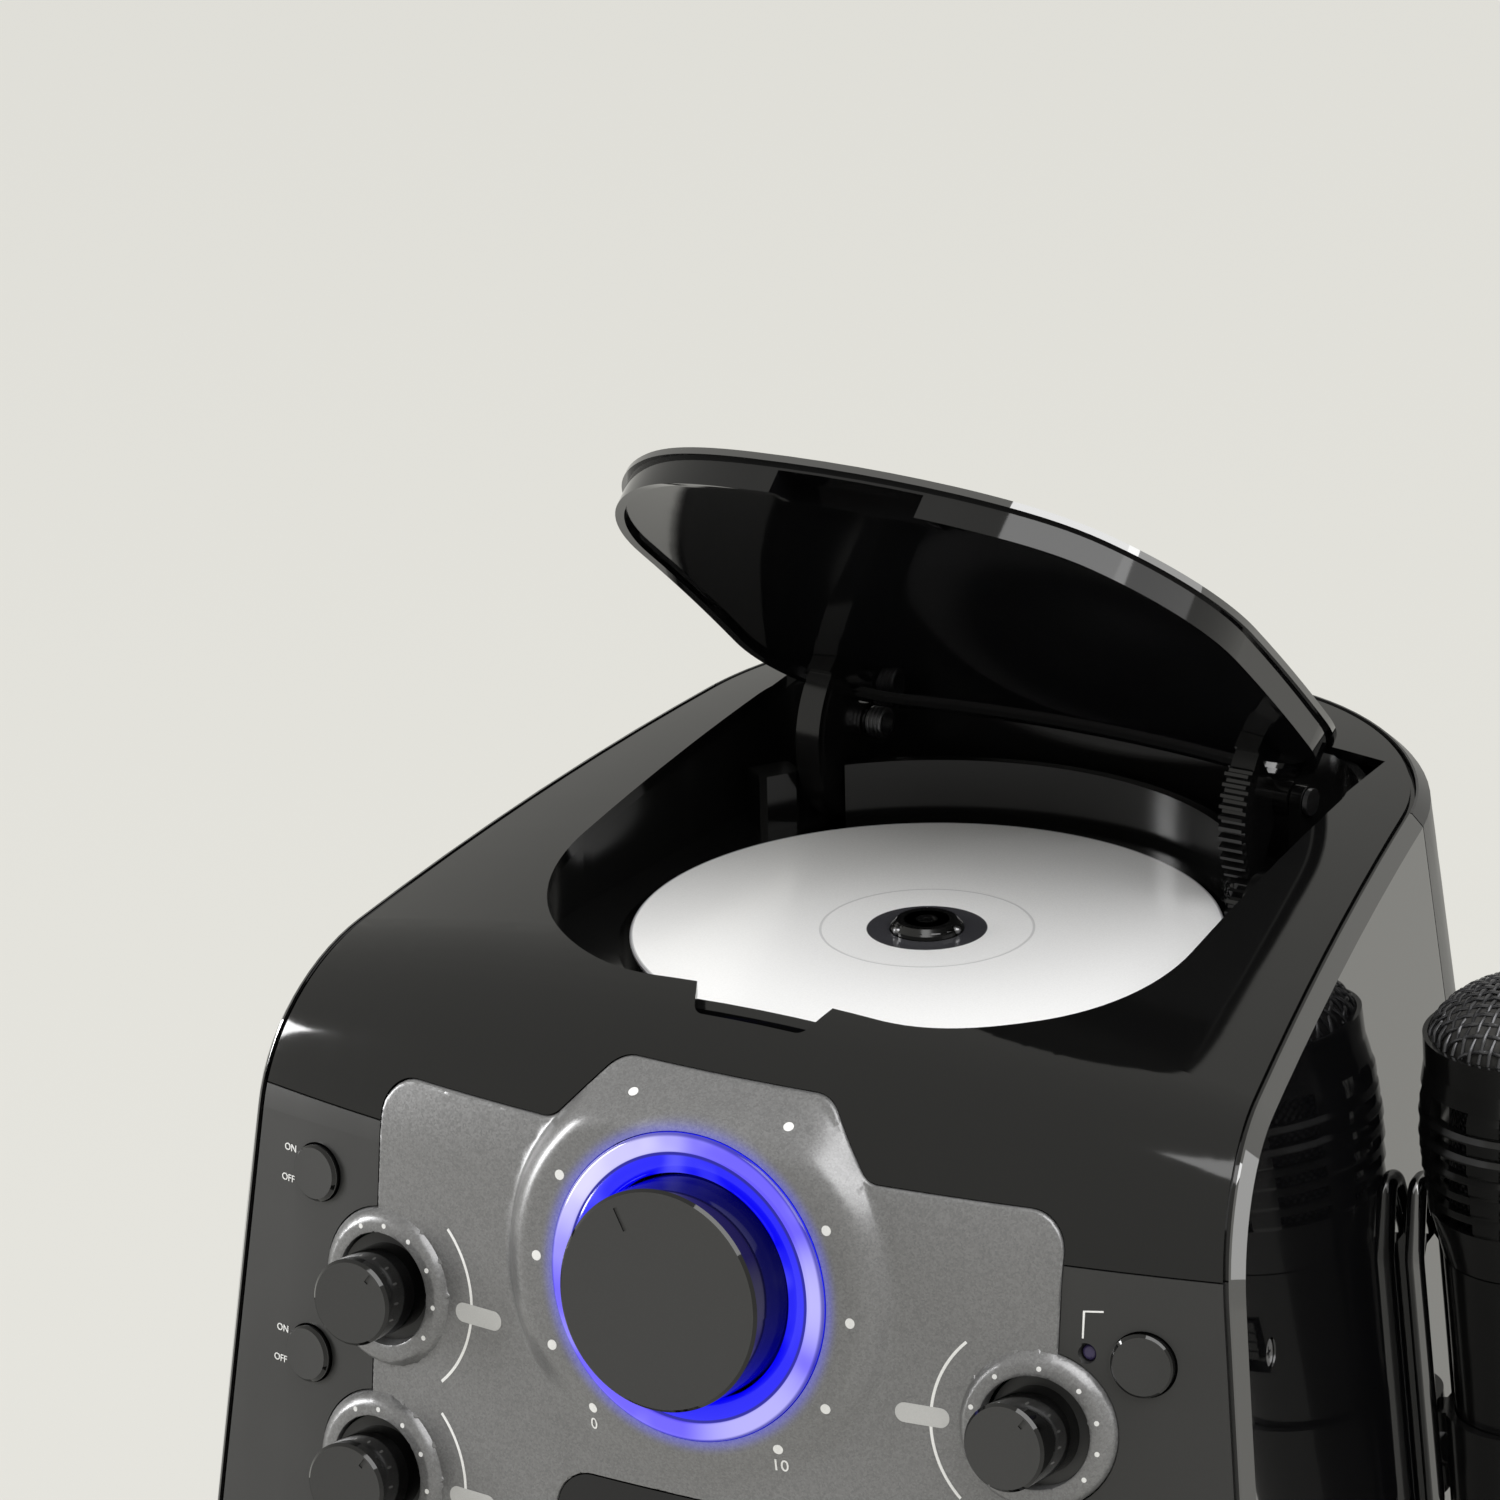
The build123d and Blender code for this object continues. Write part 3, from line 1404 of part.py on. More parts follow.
def make_speaker_frame():
    """Pressed basket with the magnet behind it."""
    low = -seat_depth - 1.0
    edge = speaker_radius + 6.0
    return turned_speaker([
        (edge, low), (edge, low - 2.0), (speaker_radius - 1, low - 2.0), (28.0, -46.0), (38.0, -46.0),
        (38.0, -62.0), (0, -62.0), (0, -44.0), (25.0, -44.0), (speaker_radius - 3, low),
    ])


def make_speaker_cone():
    """Paper cone with its rubber surround and dust cap."""
    low = -seat_depth
    edge = speaker_radius + 6.0
    return turned_speaker([
        (edge, low), (edge, low - 1.0), (speaker_radius - 2, low - 1.0), (speaker_radius - 5, low + 1.6),
        (speaker_radius - 8, low - 1.4), (14.0, -34.0), (8.0, -30.0), (0, -28.5), (0, -27.5),
        (8.4, -29.0), (14.0, -32.0), (speaker_radius - 8, low + 0.2), (speaker_radius - 5, low + 2.6),
        (speaker_radius - 2, low),
    ])


def make_speaker_grille():
    sheet = band(0.3, 1.7) & front_cylinder(0, speaker_level, grille_radius, -20, 20)
    rim = band(0.3, 2.6) & front_cylinder(0, speaker_level, grille_radius, -20, 20)
    rim -= front_cylinder(0, speaker_level, grille_radius - 3.0, -30, 30)
    grille = sheet + rim
    rows = 9
    for index in range(rows):
        offset = (index - (rows - 1) / 2) * 12.0
        half = math.sqrt((grille_radius - 8) ** 2 - offset**2)
        slot = front_plane(0, speaker_level) * Pos(0, offset, -20) * extrude(
            RectangleRounded(2 * half, 5.0, 2.4), amount=40
        )
        grille -= slot
    return grille


def make_mic_sockets():
    group = []
    for side in (-1, 1):
        x = side * jack_x
        barrel = front_cylinder(x, jack_level, 5.9, -jack_length, 2.4)
        barrel += front_cylinder(x, jack_level, 8.6, -8.4, -6.4)
        barrel -= front_cylinder(x, jack_level, jack_bore, -jack_length - 1, 4)
        group += barrel.solids()
    return Compound(group)


# ---------------------------------------------------------------- microphone and its holder
def mic_turned(points):
    return Pos(mic_x, mic_y, 0) * revolve(Plane.XZ * Polygon(*points, align=None), Axis.Z)


def mic_radius(level):
    """Outer radius of the handle at a level."""
    share = (level - mic_end) / (mic_neck - mic_end)
    return mic_end_radius + (mic_neck_radius - mic_end_radius) * share**1.6


def make_mic_body():
    """Tapered handle with the plug's recess in its lower end."""
    levels = [mic_end + (mic_neck - mic_end) * step / 8 for step in range(9)]
    points = [(0, mic_end), (mic_end_radius - 1.0, mic_end)]
    points += [(mic_radius(level), level + (1.2 if level == mic_end else 0)) for level in levels]
    points += [(mic_neck_radius - basket_wall - 0.2, mic_neck), (mic_neck_radius - basket_wall - 0.2, mic_neck + 5),
               (0, mic_neck + 5)]
    body = mic_turned(points)
    recess = Pos(mic_x, mic_y, mic_end) * Cylinder(8.0, 18.0)
    body -= recess
    for turn in (90, 210, 330):
        pin = Pos(mic_x, mic_y, mic_end) * Rot(Z=turn) * Pos(4.2, 0, 1.5) * Cylinder(
            1.1, 8.0, align=(Align.CENTER, Align.CENTER, Align.MIN)
        )
        body += pin
    body -= switch_block(0.3, mic_switch_travel)
    return body


switch_level = 236.0
switch_width = 6.0
switch_length = 8.0
mic_switch_travel = 3.5
switch_turn = -60.0         # which way the switch faces, from +X


def switch_block(margin, extra=0.0):
    """The switch's slider, or its slot when a margin and the travel are added."""
    deep = mic_radius(switch_level) - 3.0 - margin
    proud = mic_radius(switch_level) + (1.6 if extra == 0 else 6.0)
    length = switch_length + extra + 2 * margin
    block = Pos(deep, 0, -extra / 2) * Box(
        proud - deep, switch_width + 2 * margin, length, align=(Align.MIN, Align.CENTER, Align.CENTER)
    )
    return Pos(mic_x, mic_y, switch_level) * Rot(Z=switch_turn) * block


def make_mic_switch():
    slider = switch_block(0)
    for step in (-2, 0, 2):
        groove = Pos(mic_radius(switch_level) + 1.6, 0, step) * Box(0.8, switch_width + 1, 0.7)
        slider -= Pos(mic_x, mic_y, switch_level) * Rot(Z=switch_turn) * groove
    return slider


def make_mic_basket():
    """Slotted plastic basket with a plain collar and ribbed lower part."""
    top = mesh_level + 0.5
    ribs_high = mesh_level - 10.5
    ribs_low = ribs_high - slot_rows * slot_pitch
    outer = [(mic_neck_radius, mic_neck + 0.3), (mic_neck_radius + 1.2, mic_neck + 5)]
    for row in range(slot_rows):
        low = ribs_low + row * slot_pitch
        share = min(1.0, (low - mic_neck) / 22.0)
        radius = mic_neck_radius + 2.0 + (basket_radius - mic_neck_radius - 2.0) * share
        outer += [(radius - 0.7, low + 0.2), (radius, low + 1.2), (radius, low + slot_pitch - 0.9)]
    outer += [(basket_radius - 0.4, ribs_high + 0.6), (mesh_radius + 0.8, mesh_level - 5.5), (mesh_radius + 1.0, top)]
    inner = [(mesh_radius, top), (mesh_radius, mesh_level - 2.5), (basket_radius - 2.6, ribs_high),
             (basket_radius - 2.6, ribs_low + 8), (mic_neck_radius - basket_wall, mic_neck + 6),
             (mic_neck_radius - basket_wall, mic_neck + 0.3)]
    basket = mic_turned(outer + inner)
    for row in range(slot_rows):
        low = ribs_low + row * slot_pitch
        height = slot_pitch - 1.6
        if row == slot_rows - 1:
            height = slot_pitch + 0.6
        for column in range(slot_columns // 2):
            turn = (column + 0.5) * 360 / slot_columns
            slot = Box(80, 11.0, height, align=(Align.CENTER, Align.CENTER, Align.MIN))
            basket -= Pos(mic_x, mic_y, low + 0.3) * Rot(Z=turn) * slot
    return basket


def make_mic_grille():
    """Woven wire head, drawn as a dome with a skirt inside the basket."""
    steps = 6
    arc = []
    for step in range(steps + 1):
        turn = math.pi / 2 * step / steps
        arc.append((math.cos(turn) ** 0.7, math.sin(turn)))
    outer = [((mesh_radius - 0.3) * r, mesh_level + mesh_height * z) for r, z in arc]
    inner = [((mesh_radius - 0.3 - mesh_wall) * r, mesh_level + (mesh_height - mesh_wall) * z) for r, z in arc]
    skirt_low = mic_neck + 8.0
    points = outer + inner[::-1]
    points += [(mesh_inner - mesh_wall, mesh_level - 1.5), (mesh_inner - mesh_wall - 2.6, skirt_low),
               (mesh_inner - 2.6, skirt_low), (mesh_inner, mesh_level - 3.0), (mesh_radius - 0.3, mesh_level - 2.0)]
    return mic_turned(points)


def loop_plane():
    """Plane of the holder's rod loop, parallel to the right side panel, under the microphone."""
    base = side_plane(1, mic_y, 0)
    normal = base.z_dir
    along = Vector(-side_taper, 1, 0).normalized()
    foot = Vector(*base.origin)
    lateral = (Vector(mic_x, mic_y, 0) - foot).dot(along)
    origin = foot + along * lateral + normal * (loop_gap + loop_rod)
    return Plane(origin, x_dir=along, z_dir=normal)


def loop_height(level):
    """Distance along the loop's plane for a height above the floor."""
    plane = loop_plane()
    return (level - plane.origin.Z) / plane.y_dir.Z


def make_mic_holder():
    """Bent rod loop with a plate between its legs, standing off the right side panel."""
    plane = loop_plane()
    top, bend, low = loop_height(loop_top), loop_height(loop_bend), loop_height(loop_bottom)
    corner = loop_half - 5.6
    path = FilletPolyline(
        (-loop_half, low), (-loop_half, bend), (-corner, top), (corner, top), (loop_half, bend), (loop_half, low),
        radius=[6.0, 2.4, 2.4, 6.0],
    )
    start = Plane((-loop_half, low, 0), x_dir=(1, 0, 0), z_dir=(0, 1, 0))
    rod = sweep(start * Circle(loop_rod), path=path)
    holder = plane * rod
    for side in (-1, 1):
        leg = Cylinder(loop_rod, loop_gap + loop_rod - 0.1, align=(Align.CENTER, Align.CENTER, Align.MAX))
        holder += plane * Pos(side * loop_half, low, 0) * leg
        holder += plane * Pos(side * loop_half, low, 0) * Sphere(loop_rod)
        washer = Cylinder(2 * loop_rod, 1.0, align=(Align.CENTER, Align.CENTER, Align.MIN))
        holder += plane * Pos(side * loop_half, low, 0.1 - loop_gap - loop_rod) * washer
    half = loop_half - loop_rod - plate_margin
    plate_low = loop_height(loop_bottom + 9.0)
    plate_high = bend + 1.0
    outline = Polygon((-half, plate_low), (half, plate_low), (half, plate_high - 3), (half - 3, plate_high),
                      (3 - half, plate_high), (-half, plate_high - 3), align=None)
    holder += plane * extrude(outline, amount=holder_plate / 2, both=True)
    for level in (loop_bottom + 16.0, loop_bend - 20.0):
        bar = Box(2 * loop_half, 5.0, holder_plate)
        holder += plane * Pos(0, loop_height(level), 0) * bar
    return holder


def make_holder_clamp():
    """Open spring clip on the holder's plate that grips the handle."""
    low = mic_radius(clip_level) + clip_gap
    high = mic_radius(clip_level + clip_height) + clip_gap
    ring = Cone(low + clip_wall, high + clip_wall, clip_height, align=(Align.CENTER, Align.CENTER, Align.MIN))
    ring = Pos(mic_x, mic_y, clip_level) * ring
    plane = loop_plane()
    middle = loop_height(clip_level + clip_height / 2)
    face = holder_plate / 2
    block = plane * Pos(0, middle, face) * Box(
        8.0, clip_height - 4.0, 14.0, align=(Align.CENTER, Align.CENTER, Align.MIN)
    )
    block &= Pos(mic_x, mic_y, clip_level) * Cylinder(
        60, clip_height, align=(Align.CENTER, Align.CENTER, Align.MIN)
    )
    boss = plane * Pos(0, middle, face) * Cylinder(5.5, 4.0, align=(Align.CENTER, Align.CENTER, Align.MIN))
    hollow = Cone(low, high, clip_height, align=(Align.CENTER, Align.CENTER, Align.MIN))
    stretch = 12.0
    slope = (high - low) / clip_height
    hollow = Cone(low - slope * stretch, high + slope * stretch, clip_height + 2 * stretch,
                  align=(Align.CENTER, Align.CENTER, Align.MIN))
    mouth = Pos(mic_x, mic_y, clip_level) * Rot(Z=math.degrees(math.atan(side_taper))) * Pos(4, 0, 0) * Box(
        60, 2 * low * 0.86, clip_height, align=(Align.MIN, Align.CENTER, Align.MIN)
    )
    return (ring + block + boss) - Pos(mic_x, mic_y, clip_level - stretch) * hollow - mouth


# ---------------------------------------------------------------- export
def all_parts():
    parts = {
        "upper_shell": make_upper_shell(),
        "front_fascia": make_front_fascia(),
        "control_panel": make_control_panel(),
        "side_panel_left": make_side_panel(-1),
        "side_panel_right": make_side_panel(1),
        "inner_frame": make_inner_frame(),
        "rear_cover": make_rear_cover(),
        "base_plate": make_base_plate(),
        "feet": make_feet(),
        "disc_well": make_disc_well(),
        "mechanism_plate": make_mechanism_plate(),
        "deck_motors": make_deck_motors(),
        "guide_rods": make_guide_rods(),
        "hinge_brackets": make_hinge_brackets(),
        "hinge_pins": make_hinge_pins(),
        "damper_housing": make_damper_housing(),
        "damper_gear": make_damper_gear(),
        "lid_spring": make_lid_spring(),
        "lid_cover": make_lid_cover(),
        "lid_liner": make_lid_liner(),
        "hinge_arm_left": open_lid(make_arm(-1, False)),
        "hinge_arm_right": open_lid(make_arm(1, True)),
        "disc": make_disc(),
        "spindle_hub": make_spindle_hub(),
        "pickup_sled": make_pickup_sled(),
        "pickup_lens": make_pickup_lens(),
        "feed_gear": make_feed_gear(),
        "volume_ring": make_volume_ring(),
        "status_led": make_status_led(),
        "display_window": make_display_window(),
        "display_module": make_display_module(),
        "control_board": make_control_board(),
        "main_board": make_main_board(),
        "power_transformer": make_transformer(),
        "speaker_frame": make_speaker_frame(),
        "speaker_cone": make_speaker_cone(),
        "speaker_grille": make_speaker_grille(),
        "mic_sockets": make_mic_sockets(),
        "power_inlet": make_power_inlet(),
        "rear_sockets": make_rear_sockets(),
        "case_screws": make_case_screws(),
        "mic_holder": make_mic_holder(),
        "holder_clamp": make_holder_clamp(),
        "mic_body": make_mic_body(),
        "mic_basket": make_mic_basket(),
        "mic_grille": make_mic_grille(),
        "mic_switch": make_mic_switch(),
        "volume_knob": make_volume_knob(),
        "echo_knob": make_small_knob(-small_x, small_levels[0]),
        "mic_knob": make_small_knob(-small_x, small_levels[1]),
        "balance_knob": make_small_knob(small_x, small_levels[0]),
        "music_knob": make_small_knob(small_x, small_levels[1]),
        "power_button": make_round_button(*round_buttons()[0]),
        "light_button": make_round_button(*round_buttons()[1]),
        "pair_button": make_round_button(*round_buttons()[2]),
    }
    for index, name in enumerate(("key_previous", "key_play", "key_next", "key_stop")):
        parts[name] = make_key(index)
    return parts


# The pieces are drawn about the spindle, and the row's origin is in the middle of the depth.
os.makedirs("parts", exist_ok=True)
for name, shape in all_parts().items():
    export_step(shape.moved(Location((0, spindle_y, 0))), f"parts/{name}.step")
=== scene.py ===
# %% [markdown]
# A table-top karaoke machine with a disc deck under a hinged lid.
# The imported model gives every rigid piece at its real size. This script dresses those
# pieces: it gives each one a finish, and makes again, finer, the mouldings whose gloss
# would show a coarse mesh.

import math

import bmesh
import bpy
import numpy as np
from mathutils import Matrix, Vector
from mathutils.geometry import delaunay_2d_cdt


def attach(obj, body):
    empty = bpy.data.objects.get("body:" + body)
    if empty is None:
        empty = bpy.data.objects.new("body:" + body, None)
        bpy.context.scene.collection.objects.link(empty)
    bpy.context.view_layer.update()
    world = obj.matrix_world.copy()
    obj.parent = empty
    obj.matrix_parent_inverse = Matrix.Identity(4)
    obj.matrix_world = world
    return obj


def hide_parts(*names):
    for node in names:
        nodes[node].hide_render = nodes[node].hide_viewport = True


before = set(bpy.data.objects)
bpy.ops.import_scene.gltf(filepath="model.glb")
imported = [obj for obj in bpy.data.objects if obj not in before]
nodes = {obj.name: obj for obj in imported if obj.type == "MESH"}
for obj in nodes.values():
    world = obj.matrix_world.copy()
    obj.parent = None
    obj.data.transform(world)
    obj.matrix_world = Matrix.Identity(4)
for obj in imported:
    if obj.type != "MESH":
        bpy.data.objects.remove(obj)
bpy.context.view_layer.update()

# %% [markdown]
# A studio portrait of a product is taken with a long lens from some two metres away, so
# that upright edges stay nearly parallel. The camera is given by where it stands and by
# its three axes: right, up and backwards.

# %% Camera
CAMERA_PLACE = (1.0208, -1.7491, 1.0962)
CAMERA_TURN = 31.38
CAMERA_RISE = 20.37
CAMERA_ROLL = -1.29
CAMERA_LENS = 257.87
FILM_WIDTH = 36.0
FARTHEST_SEEN = 50


def camera_axes(turn, rise, roll):
    turn, rise, roll = (math.radians(angle) for angle in (turn, rise, roll))
    back = Vector((math.sin(turn) * math.cos(rise), -math.cos(turn) * math.cos(rise), math.sin(rise)))
    right = Vector((math.cos(turn), math.sin(turn), 0))
    up = back.cross(right)
    return (
        right * math.cos(roll) + up * math.sin(roll),
        up * math.cos(roll) - right * math.sin(roll),
        back,
    )


camera_data = bpy.data.cameras.new("camera")
camera_data.lens = CAMERA_LENS
camera_data.sensor_width = FILM_WIDTH
camera_data.clip_end = FARTHEST_SEEN
camera = bpy.data.objects.new("camera", camera_data)
bpy.context.scene.collection.objects.link(camera)
axes = camera_axes(CAMERA_TURN, CAMERA_RISE, CAMERA_ROLL)
camera.matrix_world = Matrix.Translation(CAMERA_PLACE) @ Matrix(axes).transposed().to_4x4()
bpy.context.scene.camera = camera
bpy.context.scene.view_settings.view_transform = "Standard"
print("camera at", CAMERA_PLACE)

# %% [markdown]
# Shader maths reads best as plain arithmetic. A Value wraps one output socket; adding or
# multiplying two of them lays down the Math node that does it. Every other node comes from
# one method, add, which takes the node's type, its settings and its inputs. Materials and
# Geometry Nodes are both node trees, so one class serves both.

# %% Node helper


class Value:
    """A number that varies over a surface: one output socket of a node tree."""

    def __init__(self, graph, socket):
        self.graph = graph
        self.socket = socket

    def maths(self, operation, *others):
        return self.graph.add("ShaderNodeMath", {"operation": operation}, self, *others)

    def __add__(self, other):
        return self.maths("ADD", other)

    def __radd__(self, other):
        return self + other

    def __sub__(self, other):
        return self.maths("SUBTRACT", other)

    def __rsub__(self, other):
        return self.graph.add("ShaderNodeMath", {"operation": "SUBTRACT"}, other, self)

    def __mul__(self, other):
        return self.maths("MULTIPLY", other)

    def __rmul__(self, other):
        return self * other

    def __truediv__(self, other):
        return self.maths("DIVIDE", other)

    def __pow__(self, other):
        return self.maths("POWER", other)

    def root(self):
        return self.maths("SQRT")

    def clamp(self):
        return self.maths("MAXIMUM", 0.0).maths("MINIMUM", 1.0)

    def step(self, low, high):
        """0 below low, 1 above high, and a smooth rise between."""
        smooth = {"interpolation_type": "SMOOTHSTEP"}
        return self.graph.add("ShaderNodeMapRange", smooth, self, From_Min=low, From_Max=high)

    def band(self, low, high, blur):
        """1 between low and high, with soft edges."""
        return self.step(low - blur, low + blur) * (1 - self.step(high - blur, high + blur))

    def axes(self):
        return [self.graph.add("ShaderNodeSeparateXYZ", None, self, out=k) for k in range(3)]


class Graph:
    """A node tree with one method that adds any node."""

    def __init__(self, tree):
        self.tree = tree

    def feed(self, socket, value):
        """Links a Value to an input, or writes a plain number or colour into it."""
        if isinstance(value, Value):
            self.tree.links.new(value.socket, socket)
        elif socket.type == "RGBA":
            socket.default_value = (*value, 1)
        else:
            socket.default_value = value

    def add(self, kind, settings=None, *values, out=0, **named):
        """Adds a node: its settings first, then its inputs by position or by name."""
        node = self.tree.nodes.new(kind)
        for key, value in (settings or {}).items():
            setattr(node, key, value)
        for index, value in enumerate(values):
            self.feed(node.inputs[index], value)
        for key, value in named.items():
            self.feed(node.inputs[key.replace("_", " ")], value)
        return Value(self, node.outputs[out])


class Finish(Graph):
    """The node tree of one material."""

    def __init__(self, name):
        self.material = bpy.data.materials.new(name)
        self.material.use_nodes = True
        super().__init__(self.material.node_tree)
        self.tree.nodes.clear()

    def surface(self, shader):
        output = self.tree.nodes.new("ShaderNodeOutputMaterial")
        self.feed(output.inputs["Surface"], shader)
        return self.material

    def principled(self, **inputs):
        """Ends the tree in the shader that every piece of the machine uses."""
        return self.surface(self.add("ShaderNodeBsdfPrincipled", **inputs))

    def place(self):
        return self.add("ShaderNodeTexCoord", out="Object")

    def noise(self, scale, detail=2.0, roughness=0.5, place=None):
        place = place or self.place()
        return self.add("ShaderNodeTexNoise", Vector=place, Scale=scale, Detail=detail, Roughness=roughness)

    def bump(self, height, distance, **inputs):
        return self.add("ShaderNodeBump", Strength=1.0, Distance=distance, Height=height, **inputs)

    def mix_colour(self, factor, first, second):
        """A Mix node set to colours has its pair on inputs 6 and 7 and its result on output 2."""
        node = self.tree.nodes.new("ShaderNodeMix")
        node.data_type = "RGBA"
        for index, value in ((0, factor), (6, first), (7, second)):
            self.feed(node.inputs[index], value)
        return Value(self, node.outputs[2])


def rgb(*shown):
    """Linear light of a colour as it shows on screen, red, green and blue from 0 to 255."""
    shares = (level / 255 for level in shown)
    return tuple(c / 12.92 if c <= 0.04045 else ((c + 0.055) / 1.055) ** 2.4 for c in shares)


def shaded(colour, share):
    """The colour made darker or lighter."""
    return tuple(c * share for c in colour)


BLACK = (0.0, 0.0, 0.0)
print("node helper ready")

# %% [markdown]
# The machine stands on a pale floor that runs on behind it without a horizon. The floor
# shows its own colour to the camera and in reflections, and still takes a shadow, because
# part of it stays an ordinary matt surface.

# %% Floor and room
PAPER = rgb(224, 223, 217)
PAPER_GLOW = 0.86
ROOM_LIGHT = 0.95
FLOOR_HALF = 40.0


def paper_finish():
    graph = Finish("studio_paper")
    rays = ("Camera", "Glossy", "Transmission")
    seen, mirrored, through = (graph.add("ShaderNodeLightPath", out=f"Is {kind} Ray") for kind in rays)
    matt = graph.add("ShaderNodeBsdfDiffuse", Color=PAPER)
    glow = graph.add("ShaderNodeEmission", Color=PAPER, Strength=1.0)
    share = (seen + mirrored + through).clamp() * PAPER_GLOW
    return graph.surface(graph.add("ShaderNodeMixShader", None, share, matt, glow))


def plain_mesh(name, points, faces=(), edges=()):
    mesh = bpy.data.meshes.new(name)
    mesh.from_pydata([tuple(p) for p in points], edges, faces)
    return mesh


corners = [(x * FLOOR_HALF, y * FLOOR_HALF, 0.0) for x, y in ((-1, -1), (1, -1), (1, 1), (-1, 1))]
floor = bpy.data.objects.new("floor", plain_mesh("floor", corners, [(0, 1, 2, 3)]))
bpy.context.scene.collection.objects.link(floor)
floor.data.materials.append(paper_finish())

room = bpy.data.worlds.new("room")
bpy.context.scene.world = room
room.use_nodes = True
room_light = room.node_tree.nodes["Background"]
room_light.inputs["Color"].default_value = (*PAPER, 1)
room_light.inputs["Strength"].default_value = ROOM_LIGHT
print("floor and room ready")

# %% [markdown]
# Polished black shows every lamp as a white patch, so the lamps stand where the rolled top
# doesn't mirror them to the camera. One broad lamp high at the right lights the disc, a
# tall strip far at the left draws the bright edge of each collar, and a weaker box at the
# right fills the side wall.

# %% Lamps
LAMP_TARGET = (0.0, 0.0, 0.2)
# where each lamp stands, its width and height, and its watts
LAMPS = {
    "key_light": ((0.8, -0.35, 1.7), 1.5, 1.5, 30.0),
    "strip_light": ((-1.9, -0.75, 0.62), 0.35, 1.0, 28.0),
    "side_light": ((1.9, 0.3, 1.0), 1.4, 1.4, 8.0),
}


def softbox(name, place, width, height, power):
    data = bpy.data.lights.new(name, "AREA")
    data.shape = "RECTANGLE"
    data.size = width
    data.size_y = height
    data.energy = power
    lamp = bpy.data.objects.new(name, data)
    bpy.context.scene.collection.objects.link(lamp)
    facing = (Vector(LAMP_TARGET) - Vector(place)).to_track_quat("-Z", "Y")
    lamp.matrix_world = Matrix.Translation(place) @ facing.to_matrix().to_4x4()


for name, lamp in LAMPS.items():
    softbox(name, *lamp)
print("lamps:", len(LAMPS))

# %% [markdown]
# Mouldings come out of a polished or a grained tool, and their plastic is never quite even:
# gloss parts show a faint waviness, satin parts a fine grain, and both gather a little
# dust. One recipe with a few numbers covers them all.

# %% Plastic mouldings
DARK_SPECK = 0.82
LIGHT_SPECK = 1.18
CLOUD_SIZE = 38.0
WAVE_SIZE = 150.0


def moulding(name, colour, rough, grain, size, wave=0.0, metal=0.0, ior=1.46):
    """grain and wave are bump depths in metres, and size is how many grains a metre holds."""
    graph = Finish(name)
    speck = graph.noise(size, 3.0)
    cloud = graph.noise(CLOUD_SIZE, 4.0)
    tone = graph.mix_colour(
        speck * 0.7 + cloud * 0.3, shaded(colour, DARK_SPECK), shaded(colour, LIGHT_SPECK)
    )
    worn = (cloud.step(0.35, 0.75) * 0.12 + 0.94) * rough
    wavy = graph.bump(graph.noise(WAVE_SIZE, 1.0), wave, Normal=graph.bump(speck, grain))
    return graph.principled(Base_Color=tone, Roughness=worn, Normal=wavy, Metallic=metal, IOR=ior)


# material, colour, roughness, depth of grain, grains in a metre, depth of wave
FINISHES = {
    "shell_black": moulding("shell_black_gloss", rgb(9, 9, 9), 0.07, 0.0000004, 4000, 0.000008),
    "panel_gloss": moulding("panel_gloss_finish", rgb(7, 7, 8), 0.025, 0.0000001, 3000, 0.000003, ior=2.3),
    "black_plastic": moulding("black_plastic_finish", rgb(13, 13, 13), 0.16, 0.000002, 2600, 0.000006),
    "rubber": moulding("rubber_finish", rgb(28, 28, 28), 0.75, 0.000010, 2200),
    "window_dark": moulding("window_dark_finish", rgb(12, 12, 14), 0.05, 0.0000002, 2500, 0.000002),
    "mesh_black": moulding("mesh_black_finish", rgb(72, 72, 74), 0.2, 0.000002, 3000, metal=0.7),
    "nylon": moulding("nylon_finish", rgb(214, 213, 204), 0.42, 0.000004, 2400),
    "lens_clear": moulding("lens_clear_finish", rgb(52, 44, 78), 0.04, 0.0000002, 3000),
    "light_blue": moulding("light_blue_finish", rgb(30, 40, 235), 0.2, 0.000001, 2500),
    "disc_white": moulding("disc_white_finish", rgb(236, 236, 234), 0.3, 0.000001, 3000),
}
SATIN_BLACK = moulding("satin_black_finish", rgb(39, 39, 39), 0.36, 0.000008, 2900)
LINER_BLACK = moulding("liner_black_finish", rgb(8, 8, 9), 0.06, 0.000001, 3100, 0.000004)
print("mouldings:", len(FINISHES) + 2)

# %% [markdown]
# The small parts inside are not plastic: a green printed board, brushed steel, wound copper
# and a pressed paper cone. Each has one trait that tells it at a glance: tracks, a brushed
# run of fine lines, turns of wire, and fibres.

# %% Metals, board and paper


def board_green():
    """Solder resist over copper: square cells, each ringed by a lighter track."""
    graph = Finish("board_green_finish")
    cells = graph.add("ShaderNodeTexVoronoi", {"distance": "MANHATTAN"}, Vector=graph.place(), Scale=220.0)
    tracks = cells.band(0.28, 0.40, 0.02)
    tone = graph.mix_colour(tracks, rgb(22, 74, 40), rgb(44, 112, 62))
    return graph.principled(Base_Color=tone, Roughness=0.32, Normal=graph.bump(tracks, 0.00003))


def metal(name, colour, rough, lines):
    """Fine level lines, this many in a metre: brushing on sheet, turns on a coil."""
    graph = Finish(name)
    x, y, z = graph.place().axes()
    stretched = graph.add("ShaderNodeCombineXYZ", None, x * 6.0, y * 6.0, z * lines)
    streak = graph.noise(1.0, place=stretched)
    tone = graph.mix_colour(streak, shaded(colour, 0.75), shaded(colour, 1.2))
    return graph.principled(
        Base_Color=tone, Metallic=1.0, Roughness=streak * 0.2 + rough, Normal=graph.bump(streak, 0.000006)
    )


